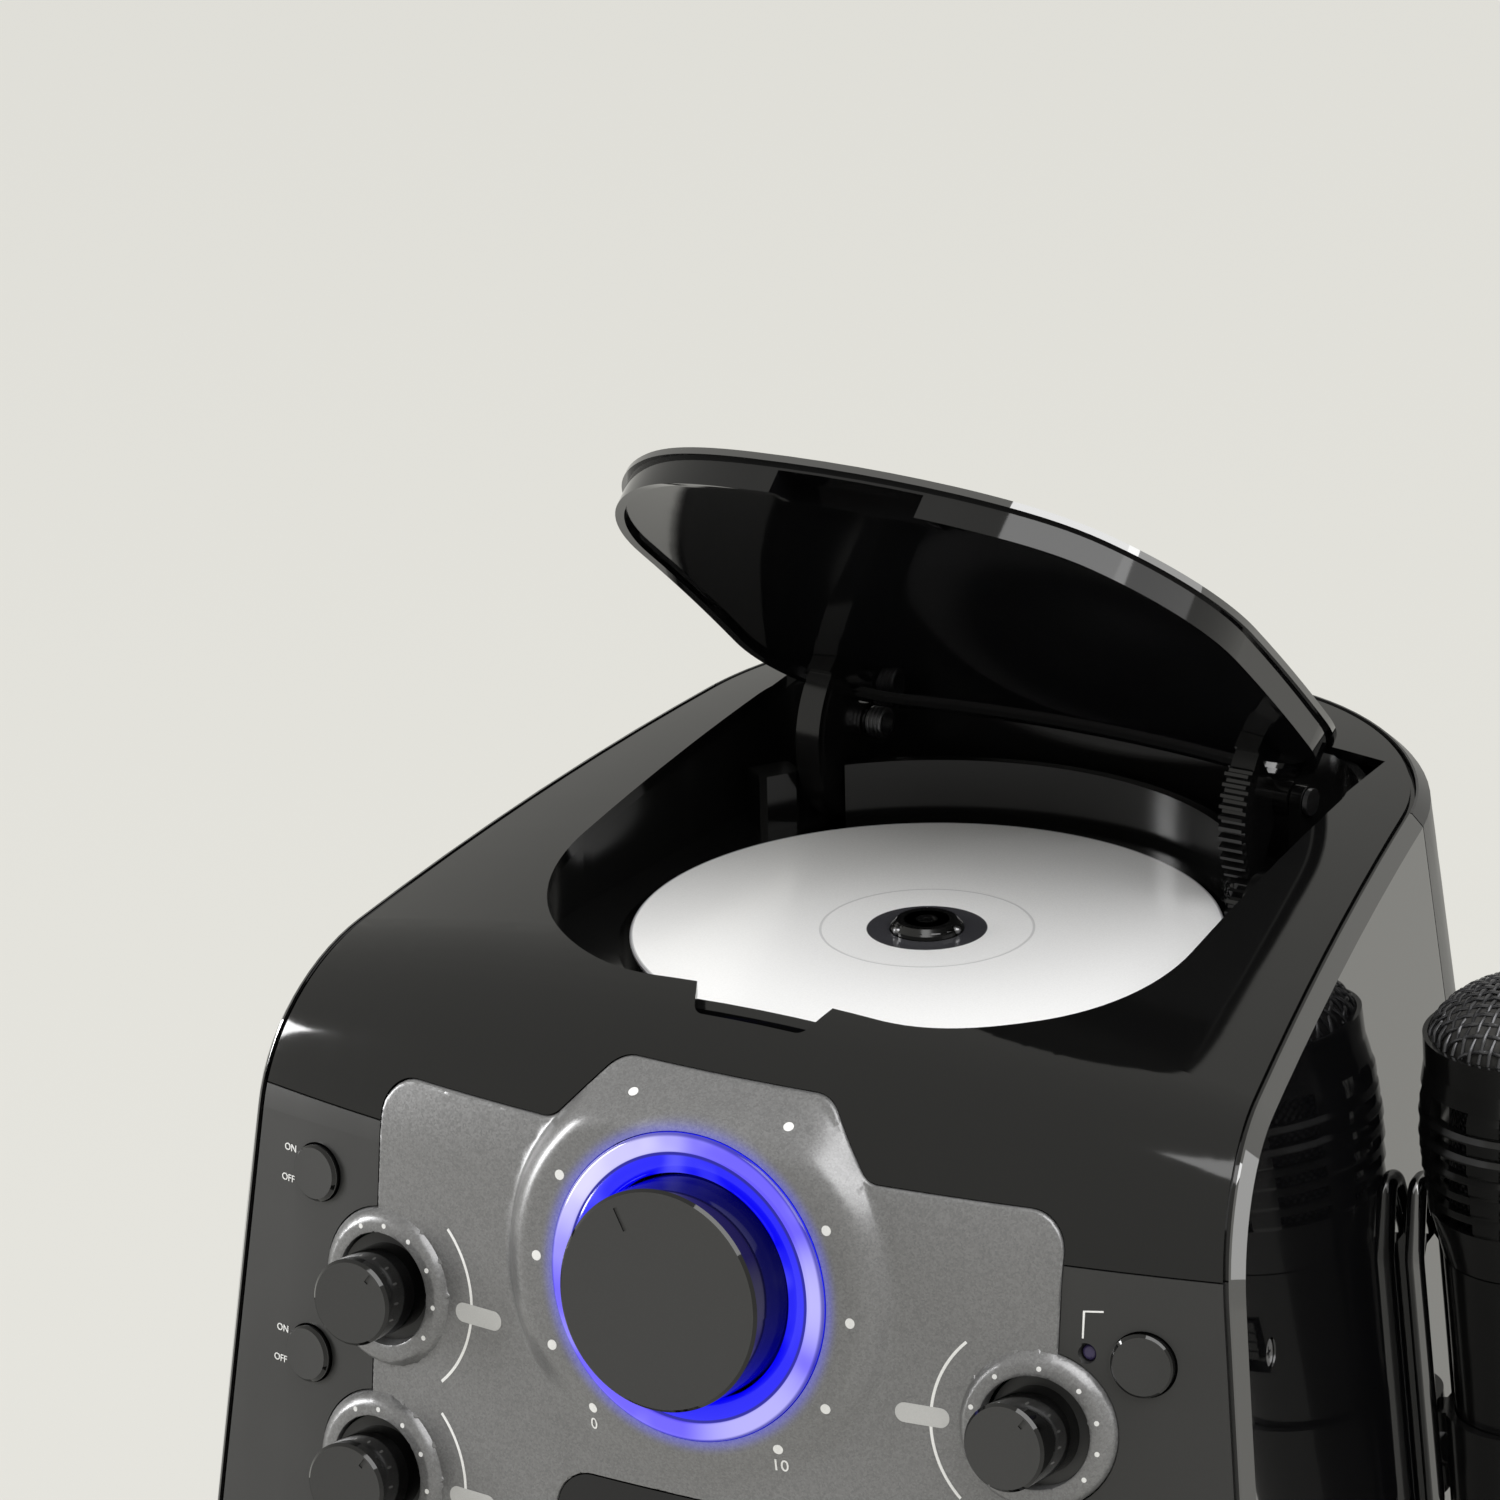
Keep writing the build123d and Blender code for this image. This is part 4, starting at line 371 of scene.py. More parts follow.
def cone_paper():
    """Pressed fibres, matt and nearly black."""
    graph = Finish("cone_paper_finish")
    fibre = graph.noise(900.0, 6.0, 0.75)
    tone = graph.mix_colour(fibre, rgb(24, 24, 24), rgb(58, 57, 55))
    return graph.principled(Base_Color=tone, Roughness=0.9, Normal=graph.bump(fibre, 0.00008))


FINISHES["board_green"] = board_green()
FINISHES["steel"] = metal("steel_finish", rgb(138, 138, 140), 0.24, 4200.0)
FINISHES["copper"] = metal("copper_finish", rgb(178, 104, 62), 0.28, 3600.0)
FINISHES["cone_paper"] = cone_paper()
print("finishes:", len(FINISHES))

# %% [markdown]
# The control panel is sprayed with a grey paint that has a fine metal flake in it. The
# flakes are cells a few tenths of a millimetre wide, each a little lighter or darker. The
# lit ring throws a soft blue bloom on the paint around it, which is painted in by distance
# from the dial's centre.

# %% Panel paint and lit ring
LEAN = math.radians(6.5)
DIAL_LEVEL = 0.265
DISH_PROUD = 0.0026
RING_EDGE = 0.0314
# distances from the dial's axis over which the bloom fades and the ring's light changes
BLOOM = (RING_EDGE - 0.0002, RING_EDGE + 0.0038)
DARK_LINE = (0.0268, 0.0274)
DARK_EDGE = (0.0304, 0.0310)
COLOUR_CHANGE = (0.0269, 0.0275)


def dial_polar(graph, proud):
    """Distance from the dial's axis in metres, and a direction as its sine and cosine."""
    x, y, z = graph.place().axes()
    up = (z - (DIAL_LEVEL + proud * math.sin(LEAN))) * (1 / math.cos(LEAN))
    radius = (x * x + up * up).root()
    return radius, x / radius, up / radius


def panel_paint():
    graph = Finish("panel_grey_paint")
    flake = graph.add("ShaderNodeTexVoronoi", Vector=graph.place(), Scale=2600.0, out="Color").axes()[0]
    fine = graph.noise(5200.0)
    cloud = graph.noise(26.0, 3.0)
    tone = graph.mix_colour(flake * 0.35 + fine * 0.5 + cloud * 0.15, rgb(92, 92, 93), rgb(136, 136, 137))
    radius = dial_polar(graph, DISH_PROUD)[0]
    glow = graph.mix_colour((1 - radius.step(*BLOOM)) ** 2.0, BLACK, (0.010, 0.012, 0.34))
    return graph.principled(
        Base_Color=tone, Metallic=0.5, Roughness=flake * 0.06 + 0.28, Emission_Color=glow,
        Emission_Strength=1.0, Normal=graph.bump(flake * 0.3 + fine * 0.7, 0.000004),
    )


def ring_light():
    """A light guide: pale outside, a thin dark line, then a strong blue, with painted reflections of the
    lamps as white patches, and random streaks.
    """
    graph = Finish("ring_light_finish")
    radius, side, up = dial_polar(graph, DISH_PROUD + 0.0002)
    streak = graph.noise(55.0)
    # The white patches at the upper left, the right and the lower right are painted reflections of the
    # lamps, laid into the ring's own light; the streaks are random tone of the guide.
    upper_left_glint = (up * 0.75 - side * 0.66).step(0.72, 1.0)
    right = (side * 0.97 + up * 0.1).step(0.86, 1.0)
    lower_right_glint = (side * 0.6 - up * 0.8).step(0.8, 1.0)
    lamps = upper_left_glint * 0.8 + right * 0.65 + lower_right_glint * 0.55
    white = (lamps + streak.step(0.5, 0.75) * 0.3).clamp()
    # The inner blue is paled by the random streaks, and a little by the painted reflection at the right.
    pale = (streak.step(0.55, 0.7) * 0.5 + right * 0.15).clamp()
    outer = graph.mix_colour(white, rgb(110, 96, 255), rgb(228, 224, 255))
    inner = graph.mix_colour(pale, rgb(2, 0, 250), rgb(110, 110, 255))
    colour = graph.mix_colour(radius.step(*COLOUR_CHANGE), inner, outer)
    dark = (radius.band(*DARK_LINE, 0.00012) + radius.step(*DARK_EDGE) * 0.8).clamp()
    colour = graph.mix_colour(dark, colour, rgb(14, 8, 150))
    return graph.principled(
        Base_Color=(0.004, 0.003, 0.05), Roughness=0.1, Emission_Color=colour,
        Emission_Strength=0.95, Normal=graph.bump(streak, 0.00002),
    )


RING_LIGHT = ring_light()
FINISHES["panel_grey"] = panel_paint()
print("panel paint and ring light ready")

# %% [markdown]
# Knobs and buttons have a satin face and a polished black side, because the face is the
# part of the mould that gets a grain. The face is where the surface looks straight out
# along the leaning front.

# %% Knob finish


def knob_black():
    graph = Finish("knob_black_finish")
    x, y, z = graph.add("ShaderNodeNewGeometry", out="Normal").axes()
    straight = (z * math.sin(LEAN) - y * math.cos(LEAN)).step(0.955, 0.985)
    grain = graph.noise(3600.0)
    face = graph.mix_colour(grain, rgb(34, 34, 34), rgb(44, 44, 44))
    return graph.principled(
        Base_Color=graph.mix_colour(straight, rgb(6, 6, 6), face), Roughness=straight * 0.34 + 0.05,
        Normal=graph.bump(grain * straight, 0.000006),
    )


KNOB_BLACK = knob_black()
print("knob finish ready")

# %% [markdown]
# Each CAD node carries the name of its material slot. Most take the finish of that slot.
# Some black mouldings share a slot but come from a grained tool, so they get the satin one.

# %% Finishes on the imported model
SATIN = ("front_fascia", "rear_cover", "base_plate")
KNOB_LIKE = ("knob", "button", "key_")
LINER = "lid_liner"


def finish_of(name, slot):
    if name in SATIN:
        return SATIN_BLACK
    if name == LINER:
        return LINER_BLACK
    if slot == "shell_black" and any(word in name for word in KNOB_LIKE):
        return KNOB_BLACK
    return FINISHES[slot]


for name, thing in nodes.items():
    packed = thing.material_slots[0].material.name.split(".")[0]
    for slot in thing.material_slots:
        slot.material = finish_of(name, packed)
print("dressed nodes:", len(nodes))

# %% [markdown]
# The front and the top are one crowned skin: straight and leaning at the front, then a
# roll, then the top. Everything on the front is placed by where it stands in the front
# view, x across and level above the floor, so one function that gives the depth of the
# skin there is enough to lay any piece on it.

# %% The crowned front
# radius of the crown across the front, and the depths of the disc's axis and of the front
CROWN = 0.470
SPINDLE_Y = -0.0085
SPINDLE_TO_FRONT = 0.09225
FRONT_Y = SPINDLE_Y - SPINDLE_TO_FRONT
ROLL_START = 0.2776
ROLL = 0.049
ROLL_Y = FRONT_Y + (ROLL_START - DIAL_LEVEL) * math.tan(LEAN) + ROLL * math.cos(LEAN)
ROLL_Z = ROLL_START - ROLL * math.sin(LEAN)


def crown_drop(x):
    """How far the crown falls back from its middle at x."""
    return CROWN - math.sqrt(CROWN**2 - x**2)


def skin_y(x, level, proud=0.0):
    """Depth of the skin, or of a surface this far outside it."""
    out = proud - crown_drop(x)
    reach = ROLL + out
    rise = (level - ROLL_Z) / reach
    if rise <= math.sin(LEAN):
        return FRONT_Y - (DIAL_LEVEL - level) * math.tan(LEAN) - out / math.cos(LEAN)
    return ROLL_Y - math.sqrt(max(reach**2 - (level - ROLL_Z) ** 2, 0))


def front_frame(x, level, proud=0.0):
    """Local axes on the front: across, up along the lean, and out."""
    across = Vector((1, 0, 0))
    upwards = Vector((0, math.sin(LEAN), math.cos(LEAN)))
    out = Vector((0, -math.cos(LEAN), math.sin(LEAN)))
    base = level + math.sin(LEAN) * crown_drop(x)
    y = FRONT_Y - (DIAL_LEVEL - base) * math.tan(LEAN) + math.cos(LEAN) * crown_drop(x)
    place = Vector((x, y, level)) + out * proud
    return Matrix.Translation(place) @ Matrix((across, upwards, out)).transposed().to_4x4()


def ease(share):
    """A smooth rise from 0 to 1, level at both ends."""
    share = min(max(share, 0.0), 1.0)
    return share * share * (3 - 2 * share)


print("front at the dial:", round(skin_y(0, DIAL_LEVEL), 5))

# %% [markdown]
# Every new piece is a mesh whose points already stand where they belong, on an object at
# the origin. Most are a ring of points carried along a line or round an axis, with each
# ring joined to the next.

# %% Piece helper
DOUBLE = 2e-6
EMPTY_EDGE = 1e-6


def dressed(name, mesh, finish, body, sharp=35):
    mesh.materials.clear()
    mesh.materials.append(finish)
    mesh.shade_smooth()
    mesh.set_sharp_from_angle(angle=math.radians(sharp))
    thing = bpy.data.objects.new(name, mesh)
    bpy.context.scene.collection.objects.link(thing)
    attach(thing, body)
    print(name, len(mesh.polygons), "faces")
    return thing


def finished(name, shape, finish, body, sharp=35):
    """Merges doubles, drops empty faces and points every face outwards."""
    bmesh.ops.remove_doubles(shape, verts=shape.verts, dist=DOUBLE)
    bmesh.ops.dissolve_degenerate(shape, edges=shape.edges, dist=EMPTY_EDGE)
    bmesh.ops.recalc_face_normals(shape, faces=shape.faces)
    mesh = bpy.data.meshes.new(name)
    shape.to_mesh(mesh)
    shape.free()
    return dressed(name, mesh, finish, body, sharp)


def joined(name, rings, finish, body, sharp=35, closed=True):
    """A skin over rings of points, closed round an axis or capped at both ends."""
    shape = bmesh.new()
    rings = [[shape.verts.new(p) for p in ring] for ring in rings]
    count = len(rings[0])
    for one, two in zip(rings, rings[1:] + rings[:1] if closed else rings[1:]):
        for k in range(count):
            after = (k + 1) % count
            shape.faces.new((one[k], one[after], two[after], two[k]))
    if not closed:
        shape.faces.new(rings[0])
        shape.faces.new(rings[-1][::-1])
    return finished(name, shape, finish, body, sharp)


def round_turn(steps):
    """The angles of a full turn, without its end."""
    return [2 * math.pi * step / steps for step in range(steps)]


def spun(name, profile, place, finish, body, steps=96, sharp=35):
    """A closed profile of (radius, height) turned about the axis of its place."""
    rings = [
        [place @ Vector((radius * math.cos(a), radius * math.sin(a), height)) for radius, height in profile]
        for a in round_turn(steps)
    ]
    return joined(name, rings, finish, body, sharp)


# %% [markdown]
# The grey control panel is one painted moulding. Its outline is a plate with a raised tab
# in the middle of its top edge, and a round lobe at each small knob. The outline is walked
# once on the right half, with each corner rounded, and mirrored.

# %% Outline of the control panel
SMALL_X = 0.0748
UPPER, LOWER = 0.2478, 0.2095
# each small knob's side of the panel and its level
KNOBS = {"echo": (-1, UPPER), "mic": (-1, LOWER), "balance": (1, UPPER), "music": (1, LOWER)}
# radius of a small knob's collar, and of the well that the knob turns in
COLLAR = 0.016
WELL = 0.0114
WELL_PROUD = 0.0018
# levels, and half widths, of the tab, the plate and the display's window
TAB_TOP = 0.3042
TAB_HALF = 0.024
TAB_FOOT_HALF = 0.036
PLATE_TOP = 0.2908
PLATE_FOOT = 0.18
PLATE_HALF = 0.078
ABOVE_LOBES, BELOW_LOBES = 0.27, 0.19
WINDOW_TOP = 0.2213
WINDOW_FOOT = 0.1887
WINDOW_HALF = 0.0303
CORNER = 0.008
TAB_CORNER = 0.005
WINDOW_CORNER = 0.0083
LONGEST_RUN = 0.0015
SHORTEST_RUN = 2e-5


def rounded(points, radii, steps=7):
    """An open line with its inner corners rounded."""
    line = [points[0]]
    for before, corner, after, radius in zip(points, points[1:], points[2:], radii):
        before, corner, after = Vector(before), Vector(corner), Vector(after)
        one, two = (before - corner).normalized(), (after - corner).normalized()
        half = one.angle(two) / 2
        reach = radius / math.tan(half)
        centre = corner + (one + two).normalized() * radius / math.sin(half)
        start, end = corner + one * reach - centre, corner + two * reach - centre
        for step in range(steps + 1):
            mixed = start.lerp(end, step / steps)
            line.append(tuple(centre + mixed.normalized() * radius))
    return line + [points[-1]]


def lobe(level, steps=40):
    """The arc of a knob's collar that stands out past the panel's upright edge."""
    half = math.acos((PLATE_HALF - SMALL_X) / COLLAR)
    turns = (half - 2 * half * step / steps for step in range(steps + 1))
    return [(SMALL_X + COLLAR * math.cos(a), level + COLLAR * math.sin(a)) for a in turns]


def mirrored(half):
    """The right half of a loop, from its top middle to its bottom middle, with its left half."""
    return half + [(-x, z) for x, z in half[-2:0:-1]]


def evened(line):
    """The closed line again, with no run longer than the longest."""
    out = []
    for k, here in enumerate(line):
        there = line[(k + 1) % len(line)]
        step = (there[0] - here[0], there[1] - here[1])
        count = max(1, math.ceil(math.dist(here, there) / LONGEST_RUN))
        out += [(here[0] + step[0] * j / count, here[1] + step[1] * j / count) for j in range(count)]
    return [p for k, p in enumerate(out) if math.dist(p, out[k - 1]) > SHORTEST_RUN]


def ring_line(x, level, radius, proud, steps):
    """A circle on the leaning front as the front view shows it."""
    place = front_frame(x, level, proud)
    spots = [place @ Vector((radius * math.cos(a), radius * math.sin(a), 0)) for a in round_turn(steps)]
    return [(p.x, p.z) for p in spots]


tab = [(0, TAB_TOP), (TAB_HALF, TAB_TOP), (TAB_FOOT_HALF, PLATE_TOP), (PLATE_HALF, PLATE_TOP)]
tab = rounded(tab + [(PLATE_HALF, ABOVE_LOBES)], [CORNER, TAB_CORNER, CORNER])
foot = rounded([(PLATE_HALF, BELOW_LOBES), (PLATE_HALF, PLATE_FOOT), (0, PLATE_FOOT)], [CORNER])
right_half = tab + lobe(UPPER) + lobe(LOWER) + foot
outline = evened(mirrored(right_half))
window = [(0, WINDOW_TOP), (WINDOW_HALF, WINDOW_TOP), (WINDOW_HALF, WINDOW_FOOT), (0, WINDOW_FOOT)]
window = evened(mirrored(rounded(window, [WINDOW_CORNER, WINDOW_CORNER])))
holes = [ring_line(0, DIAL_LEVEL, RING_EDGE, DISH_PROUD, 160), window]
holes += [ring_line(side * SMALL_X, level, WELL, WELL_PROUD, 72) for side, level in KNOBS.values()]
print("outline points", len(outline), "holes", len(holes))

# %% [markdown]
# The dial's dish is flat while the skin behind it rolls away, so it stands proud at the
# top and sides and runs out flush at the bottom. The depth is therefore a blend, by a
# weight, between the skin and one flat plane. The collars of the small knobs are a low
# step with a rounded shoulder.

# %% Depth of the control panel
# radius of the dish, and how far above the dial its edge is cut level
DISH = 0.0438
DISH_CUT = 0.0392
# degrees from the top over which the dish's edge turns crisp, and soft again
CRISP_FROM = (22, 48)
CRISP_TO = (108, 142)
CRISP_FLAT = 0.5
PAINT_PROUD = 0.0004
COLLAR_PROUD = 0.0019
SHOULDER = 0.0024


def rise(value, start, end):
    return ease((value - start) / (end - start))


def dish_weight(x, level):
    """1 on the dial's flat plane, 0 on the skin; at the dish's sides the step is crisp."""
    up = (level - DIAL_LEVEL) / math.cos(LEAN) - DISH_PROUD * math.tan(LEAN)
    radius = math.hypot(x, up)
    angle = abs(math.degrees(math.atan2(x, up)))
    edge = min(DISH, DISH_CUT * radius / up) if up > 0 else DISH
    share = (radius - RING_EDGE) / (edge - RING_EDGE)
    crisp = rise(angle, *CRISP_FROM) * (1 - rise(angle, *CRISP_TO))
    flat = CRISP_FLAT * crisp
    run = min(max((share - flat) / (1 - flat), 0.0), 1.0)
    return crisp * (1 - run**2) + (1 - crisp) * (1 - ease(run))


def collar_height(x, level):
    height = 0.0
    for side, knob in KNOBS.values():
        away = math.hypot(x - side * SMALL_X, level - knob)
        run = (away - COLLAR + SHOULDER) / SHOULDER
        height = max(height, COLLAR_PROUD * (1 - max(run, 0.0) ** 2))
    return height


def panel_y(x, level):
    """Depth of the panel's painted face."""
    skin = skin_y(x, level, PAINT_PROUD + collar_height(x, level))
    place = front_frame(0, DIAL_LEVEL, DISH_PROUD)
    out = place.col[2]
    flat = place.translation.y + (level - place.translation.z) * out.z / -out.y
    return skin + (flat - skin) * dish_weight(x, level)


print("panel face at the window's top:", round(panel_y(0, WINDOW_TOP), 4))

# %% [markdown]
# The panel's face is a mesh of small triangles over the front view: the outline and the
# holes are fixed lines, a grid fills the middle, and circles follow the dish and the
# collars, where the depth changes fastest. Blender's constrained Delaunay joins them.

# %% Loops on the front view


def closed_pairs(loop):
    return list(zip(loop, loop[1:] + loop[:1]))


def signed_area(loop):
    """Positive where the loop runs anticlockwise in the front view."""
    return sum(x1 * z2 - x2 * z1 for (x1, z1), (x2, z2) in closed_pairs(loop)) / 2


def inside(points, loop):
    """Which points lie inside a closed loop, by counting crossings."""
    x, z = points[:, 0], points[:, 1]
    hit = np.zeros(len(points), dtype=bool)
    for (x1, z1), (x2, z2) in closed_pairs(loop):
        crosses = (z1 > z) != (z2 > z)
        if z1 != z2:
            hit ^= crosses & (x < (x2 - x1) * (z - z1) / (z2 - z1) + x1)
    return hit


def on_panel(points):
    """Which points lie within the outline and outside every hole."""
    kept = inside(points, loops[0])
    for loop in loops[1:]:
        kept &= ~inside(points, loop)
    return kept


def shifted(loop, inward):
    """The loop moved sideways; positive goes to the left of its direction."""
    spots = np.array(loop)
    along = np.roll(spots, -1, axis=0) - np.roll(spots, 1, axis=0)
    along /= np.linalg.norm(along, axis=1)[:, None]
    return spots + np.stack([-along[:, 1], along[:, 0]], axis=1) * inward


def gap_to(points, loop):
    """Distance from each point to the nearest point of a loop."""
    spots = np.array(loop)
    return np.sqrt(((points[:, None, :] - spots[None]) ** 2).sum(axis=2)).min(axis=1)


def nearest_edge(points):
    return np.min([gap_to(points, loop) for loop in loops], axis=0)


loops = [loop if signed_area(loop) > 0 else loop[::-1] for loop in [outline] + holes]
areas = [signed_area(loop) for loop in loops]
print("panel face:", round((areas[0] - sum(areas[1:])) * 1e4), "square centimetres")

# %% [markdown]
# Between the fixed lines the mesh gets its free points: rows just inside each edge, where
# it is rounded, then circles on the dish and the collars, then the grid. The grid is
# shaken by a tenth of a millimetre, because points in perfect rows leave a triangulation
# with nothing to choose by.

# %% Points of the control panel's face
# distances in from an edge; the dish's first and last circle and their step; collar radii
EDGE_ROWS = (0.00015, 0.0004, 0.0009)
DISH_ROWS = (RING_EDGE + 0.0016, DISH + 0.0009, 0.0008)
COLLAR_ROWS = [0.0130] + [0.0136 + 0.0004 * k for k in range(8)]
DISH_MARGIN = 0.001
GRID = 0.0016
GRID_X = (-0.092, 0.0921)
GRID_Z = (0.1795, 0.3045)
SHAKE = 0.0001
SHAKE_WAVES = 9000
CLEAR_OF_EDGE = 0.00012


def free_points():
    rows = [shifted(loop, -inward if k else inward) for k, loop in enumerate(loops) for inward in EDGE_ROWS]
    rows += [np.array(ring_line(0, DIAL_LEVEL, radius, DISH_PROUD, 180)) for radius in np.arange(*DISH_ROWS)]
    angles = np.linspace(0, 2 * np.pi, 73)[:-1]
    circle = np.stack([np.cos(angles), np.sin(angles)], axis=1)
    for side, level in KNOBS.values():
        rows += [np.array([side * SMALL_X, level]) + radius * circle for radius in COLLAR_ROWS]
    grid = np.mgrid[GRID_X[0]:GRID_X[1]:GRID, GRID_Z[0]:GRID_Z[1]:GRID].reshape(2, -1).T
    grid = grid + SHAKE * np.sin(grid[:, ::-1] * SHAKE_WAVES)
    on_dish = np.hypot(grid[:, 0], (grid[:, 1] - DIAL_LEVEL) / math.cos(LEAN)) < DISH + DISH_MARGIN
    points = np.concatenate(rows + [grid[~on_dish]])
    return points[on_panel(points) & (nearest_edge(points) > CLEAR_OF_EDGE)]


free = free_points()
print("free points", len(free))

# %% [markdown]
# The triangles get their depth last. The face falls away in a small round at every edge
# but the dial's, where the light guide meets it, and a second copy of it further back,
# joined by a wall round each loop, closes the solid.

# %% Control panel
EDGE_ROUND = 0.0004
DIAL_RIM = 0.001
BACK_PROUD = -0.0012


def flat_triangles():
    """The front view of the panel as points and triangles."""
    spots, edges = [], []
    for loop in loops:
        ring = range(len(spots), len(spots) + len(loop))
        edges += closed_pairs(list(ring))
        spots += loop
    spots += [tuple(p) for p in free]
    joined_up = delaunay_2d_cdt([Vector(p) for p in spots], edges, [], 0, EMPTY_EDGE)
    flat, triangles = np.array([tuple(p) for p in joined_up[0]]), np.array(joined_up[2])
    return flat, triangles[on_panel(flat[triangles].mean(axis=1))]


def make_panel():
    flat, triangles = flat_triangles()
    face = []
    for (x, level), away, dial in zip(flat, nearest_edge(flat), gap_to(flat, loops[1])):
        drop = EDGE_ROUND * (1 - math.sqrt(max(0.0, 1 - (1 - min(away / EDGE_ROUND, 1)) ** 2)))
        face.append((x, panel_y(x, level) + (0 if dial < DIAL_RIM else drop), level))
    points = face + [(x, skin_y(x, level, BACK_PROUD), level) for x, level in flat]
    count = len(flat)
    faces = [tuple(int(k) for k in triangle) for triangle in triangles]
    border = dict.fromkeys(pair for a, b, c in faces for pair in ((a, b), (b, c), (c, a)))
    walls = [(b, a, a + count, b + count) for a, b in border if (b, a) not in border]
    faces += [(c + count, b + count, a + count) for a, b, c in faces] + walls
    used = sorted({k for corners in faces for k in corners})
    renamed = {k: n for n, k in enumerate(used)}
    faces = [tuple(renamed[k] for k in corners) for corners in faces]
    return plain_mesh("control_panel_fine", [points[k] for k in used], faces)


panel = dressed("control_panel_fine", make_panel(), FINISHES["panel_grey"], "cabinet", 32)
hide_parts("control_panel")

# %% [markdown]
# Round the dial the dish carries printed dots, and each small knob has its own dots and an
# arc that ends beside a bare tag. Ink has hardly any thickness, but a texture would blur at
# its edges. So each line of ink is a thin ribbon that stands about a tenth of a millimetre
# proud, with its foot sunk into the paint, and it follows the face under it.

# %% Printed marks: ink
INK = moulding("white_ink", rgb(214, 214, 214), 0.45, 0.000003, 4200)
GREY_INK = moulding("grey_ink", rgb(172, 172, 172), 0.4, 0.000003, 4200)
LINE_PROUD = 0.00008
WORD_PROUD = 0.00012
INK_FOOT = -0.0002
PROBE = 0.0004


def print_spot(x, level, across, upwards):
    """A place on the printed face, from a centre and two distances along the front."""
    return x + across, level + upwards * math.cos(LEAN)


def facing_out(x, level, depth):
    """Unit normal of a face given as a depth function."""
    along = Vector((2 * PROBE, depth(x + PROBE, level) - depth(x - PROBE, level), 0))
    upwards = Vector((0, depth(x, level + PROBE) - depth(x, level - PROBE), 2 * PROBE))
    return along.cross(upwards).normalized()


def laid(x, level, depth, out):
    """The point of a face seen at this place, moved straight out of it."""
    return Vector((x, depth(x, level), level)) + facing_out(x, level, depth) * out


def strip(name, lefts, rights, depth, ink, proud=LINE_PROUD):
    """A ribbon of ink between two lines of front-view places."""
    rings = [
        [laid(*spot, depth, out) for spot, out in ((a, proud), (b, proud), (b, INK_FOOT), (a, INK_FOOT))]
        for a, b in zip(lefts, rights)
    ]
    return joined(name, rings, ink, "cabinet", closed=False)


print("front faces out along", [round(c, 3) for c in facing_out(0, DIAL_LEVEL, panel_y)])

# %% [markdown]
# Dots repeat one small disc, which is what Geometry Nodes do best: Instance on Points puts
# a copy on every point of a seed mesh, and an attribute on the points says which way the
# face looks there. The group ends in Realize Instances and Set Material, so that the copies
# are real faces, and its result is turned into a plain mesh.

# %% Geometry Nodes helper


class Repeat(Graph):
    """A Geometry Nodes group: a seed mesh and named numbers in, a mesh out."""

    def __init__(self, name, sizes):
        super().__init__(bpy.data.node_groups.new(name, "GeometryNodeTree"))
        self.sizes = sizes
        sockets = self.tree.interface
        sockets.new_socket("Geometry", in_out="INPUT", socket_type="NodeSocketGeometry")
        for key, value in sizes.items():
            sockets.new_socket(key, in_out="INPUT", socket_type="NodeSocketFloat").default_value = value
        sockets.new_socket("Geometry", in_out="OUTPUT", socket_type="NodeSocketGeometry")
        self.start = self.tree.nodes.new("NodeGroupInput")

    def given(self, key):
        """One of the group's inputs."""
        return Value(self, self.start.outputs[key])

    def end(self, geometry, finish):
        real = self.add("GeometryNodeRealizeInstances", Geometry=geometry)
        paint = self.add("GeometryNodeSetMaterial", Geometry=real, Material=finish)
        self.feed(self.tree.nodes.new("NodeGroupOutput").inputs["Geometry"], paint)
        return self


def as_mesh(host):
    """The plain mesh that an object's modifiers or text make; the object itself goes."""
    bpy.context.scene.collection.objects.link(host)
    bpy.context.view_layer.update()
    made = bpy.data.meshes.new_from_object(host.evaluated_get(bpy.context.evaluated_depsgraph_get()))
    bpy.data.objects.remove(host)
    return made


def grown(name, seeds, group, **sizes):
    """Evaluates a group on a seed mesh; sizes change its inputs for this piece."""
    host = bpy.data.objects.new(name + "_seed", seeds)
    change = host.modifiers.new("repeat", "NODES")
    change.node_group = group.tree
    for item in group.tree.interface.items_tree:
        if item.in_out == "INPUT" and item.name in group.sizes:
            key = item.name.replace(" ", "_")
            change[item.identifier] = sizes.get(key, group.sizes[item.name])
    mesh = as_mesh(host)
    mesh.name = name
    return mesh


print("geometry helper ready")

# %% [markdown]
# The volume dial has ten dots round its dish, and the small knobs have six or seven each.
# A dot is placed by its angle from the top and its distance from the knob's axis.

# %% Printed marks: dots
VOLUME_DOTS = [(-144, 0.0362), (-120, 0.0354), (-90, 0.0350), (-60, 0.0350), (-26, 0.0392),
               (28, 0.0394), (60, 0.0354), (90, 0.0368), (120, 0.0370), (144, 0.0362)]
VOLUME_DOT = 0.00105
ROUND_DOTS = (-27, 0, 29, 59, 92, 123)
BALANCE_DOTS = (-74, -38, 3, 42, 73, 100, 126)
SMALL_DOT = 0.00052
SMALL_DOT_AWAY = 0.01335
DOT_HEIGHT = 0.0003
DOT_SUNK = 0.00011


def dot_group():
    group = Repeat("printed_dots", {"Dot Radius": SMALL_DOT, "Dot Height": DOT_HEIGHT})
    radius, height = group.given("Dot Radius"), group.given("Dot Height")
    disc = group.add("GeometryNodeMeshCylinder", Vertices=20, Radius=radius, Depth=height)
    vectors = {"data_type": "FLOAT_VECTOR"}
    facing = group.add("GeometryNodeInputNamedAttribute", vectors, Name="facing", out="Attribute")
    turn = group.add("FunctionNodeAlignRotationToVector", {"axis": "Z"}, Vector=facing)
    copies = group.add(
        "GeometryNodeInstanceOnPoints", Points=group.given("Geometry"), Instance=disc, Rotation=turn
    )
    return group.end(copies, INK)


DOT_GROUP = dot_group()


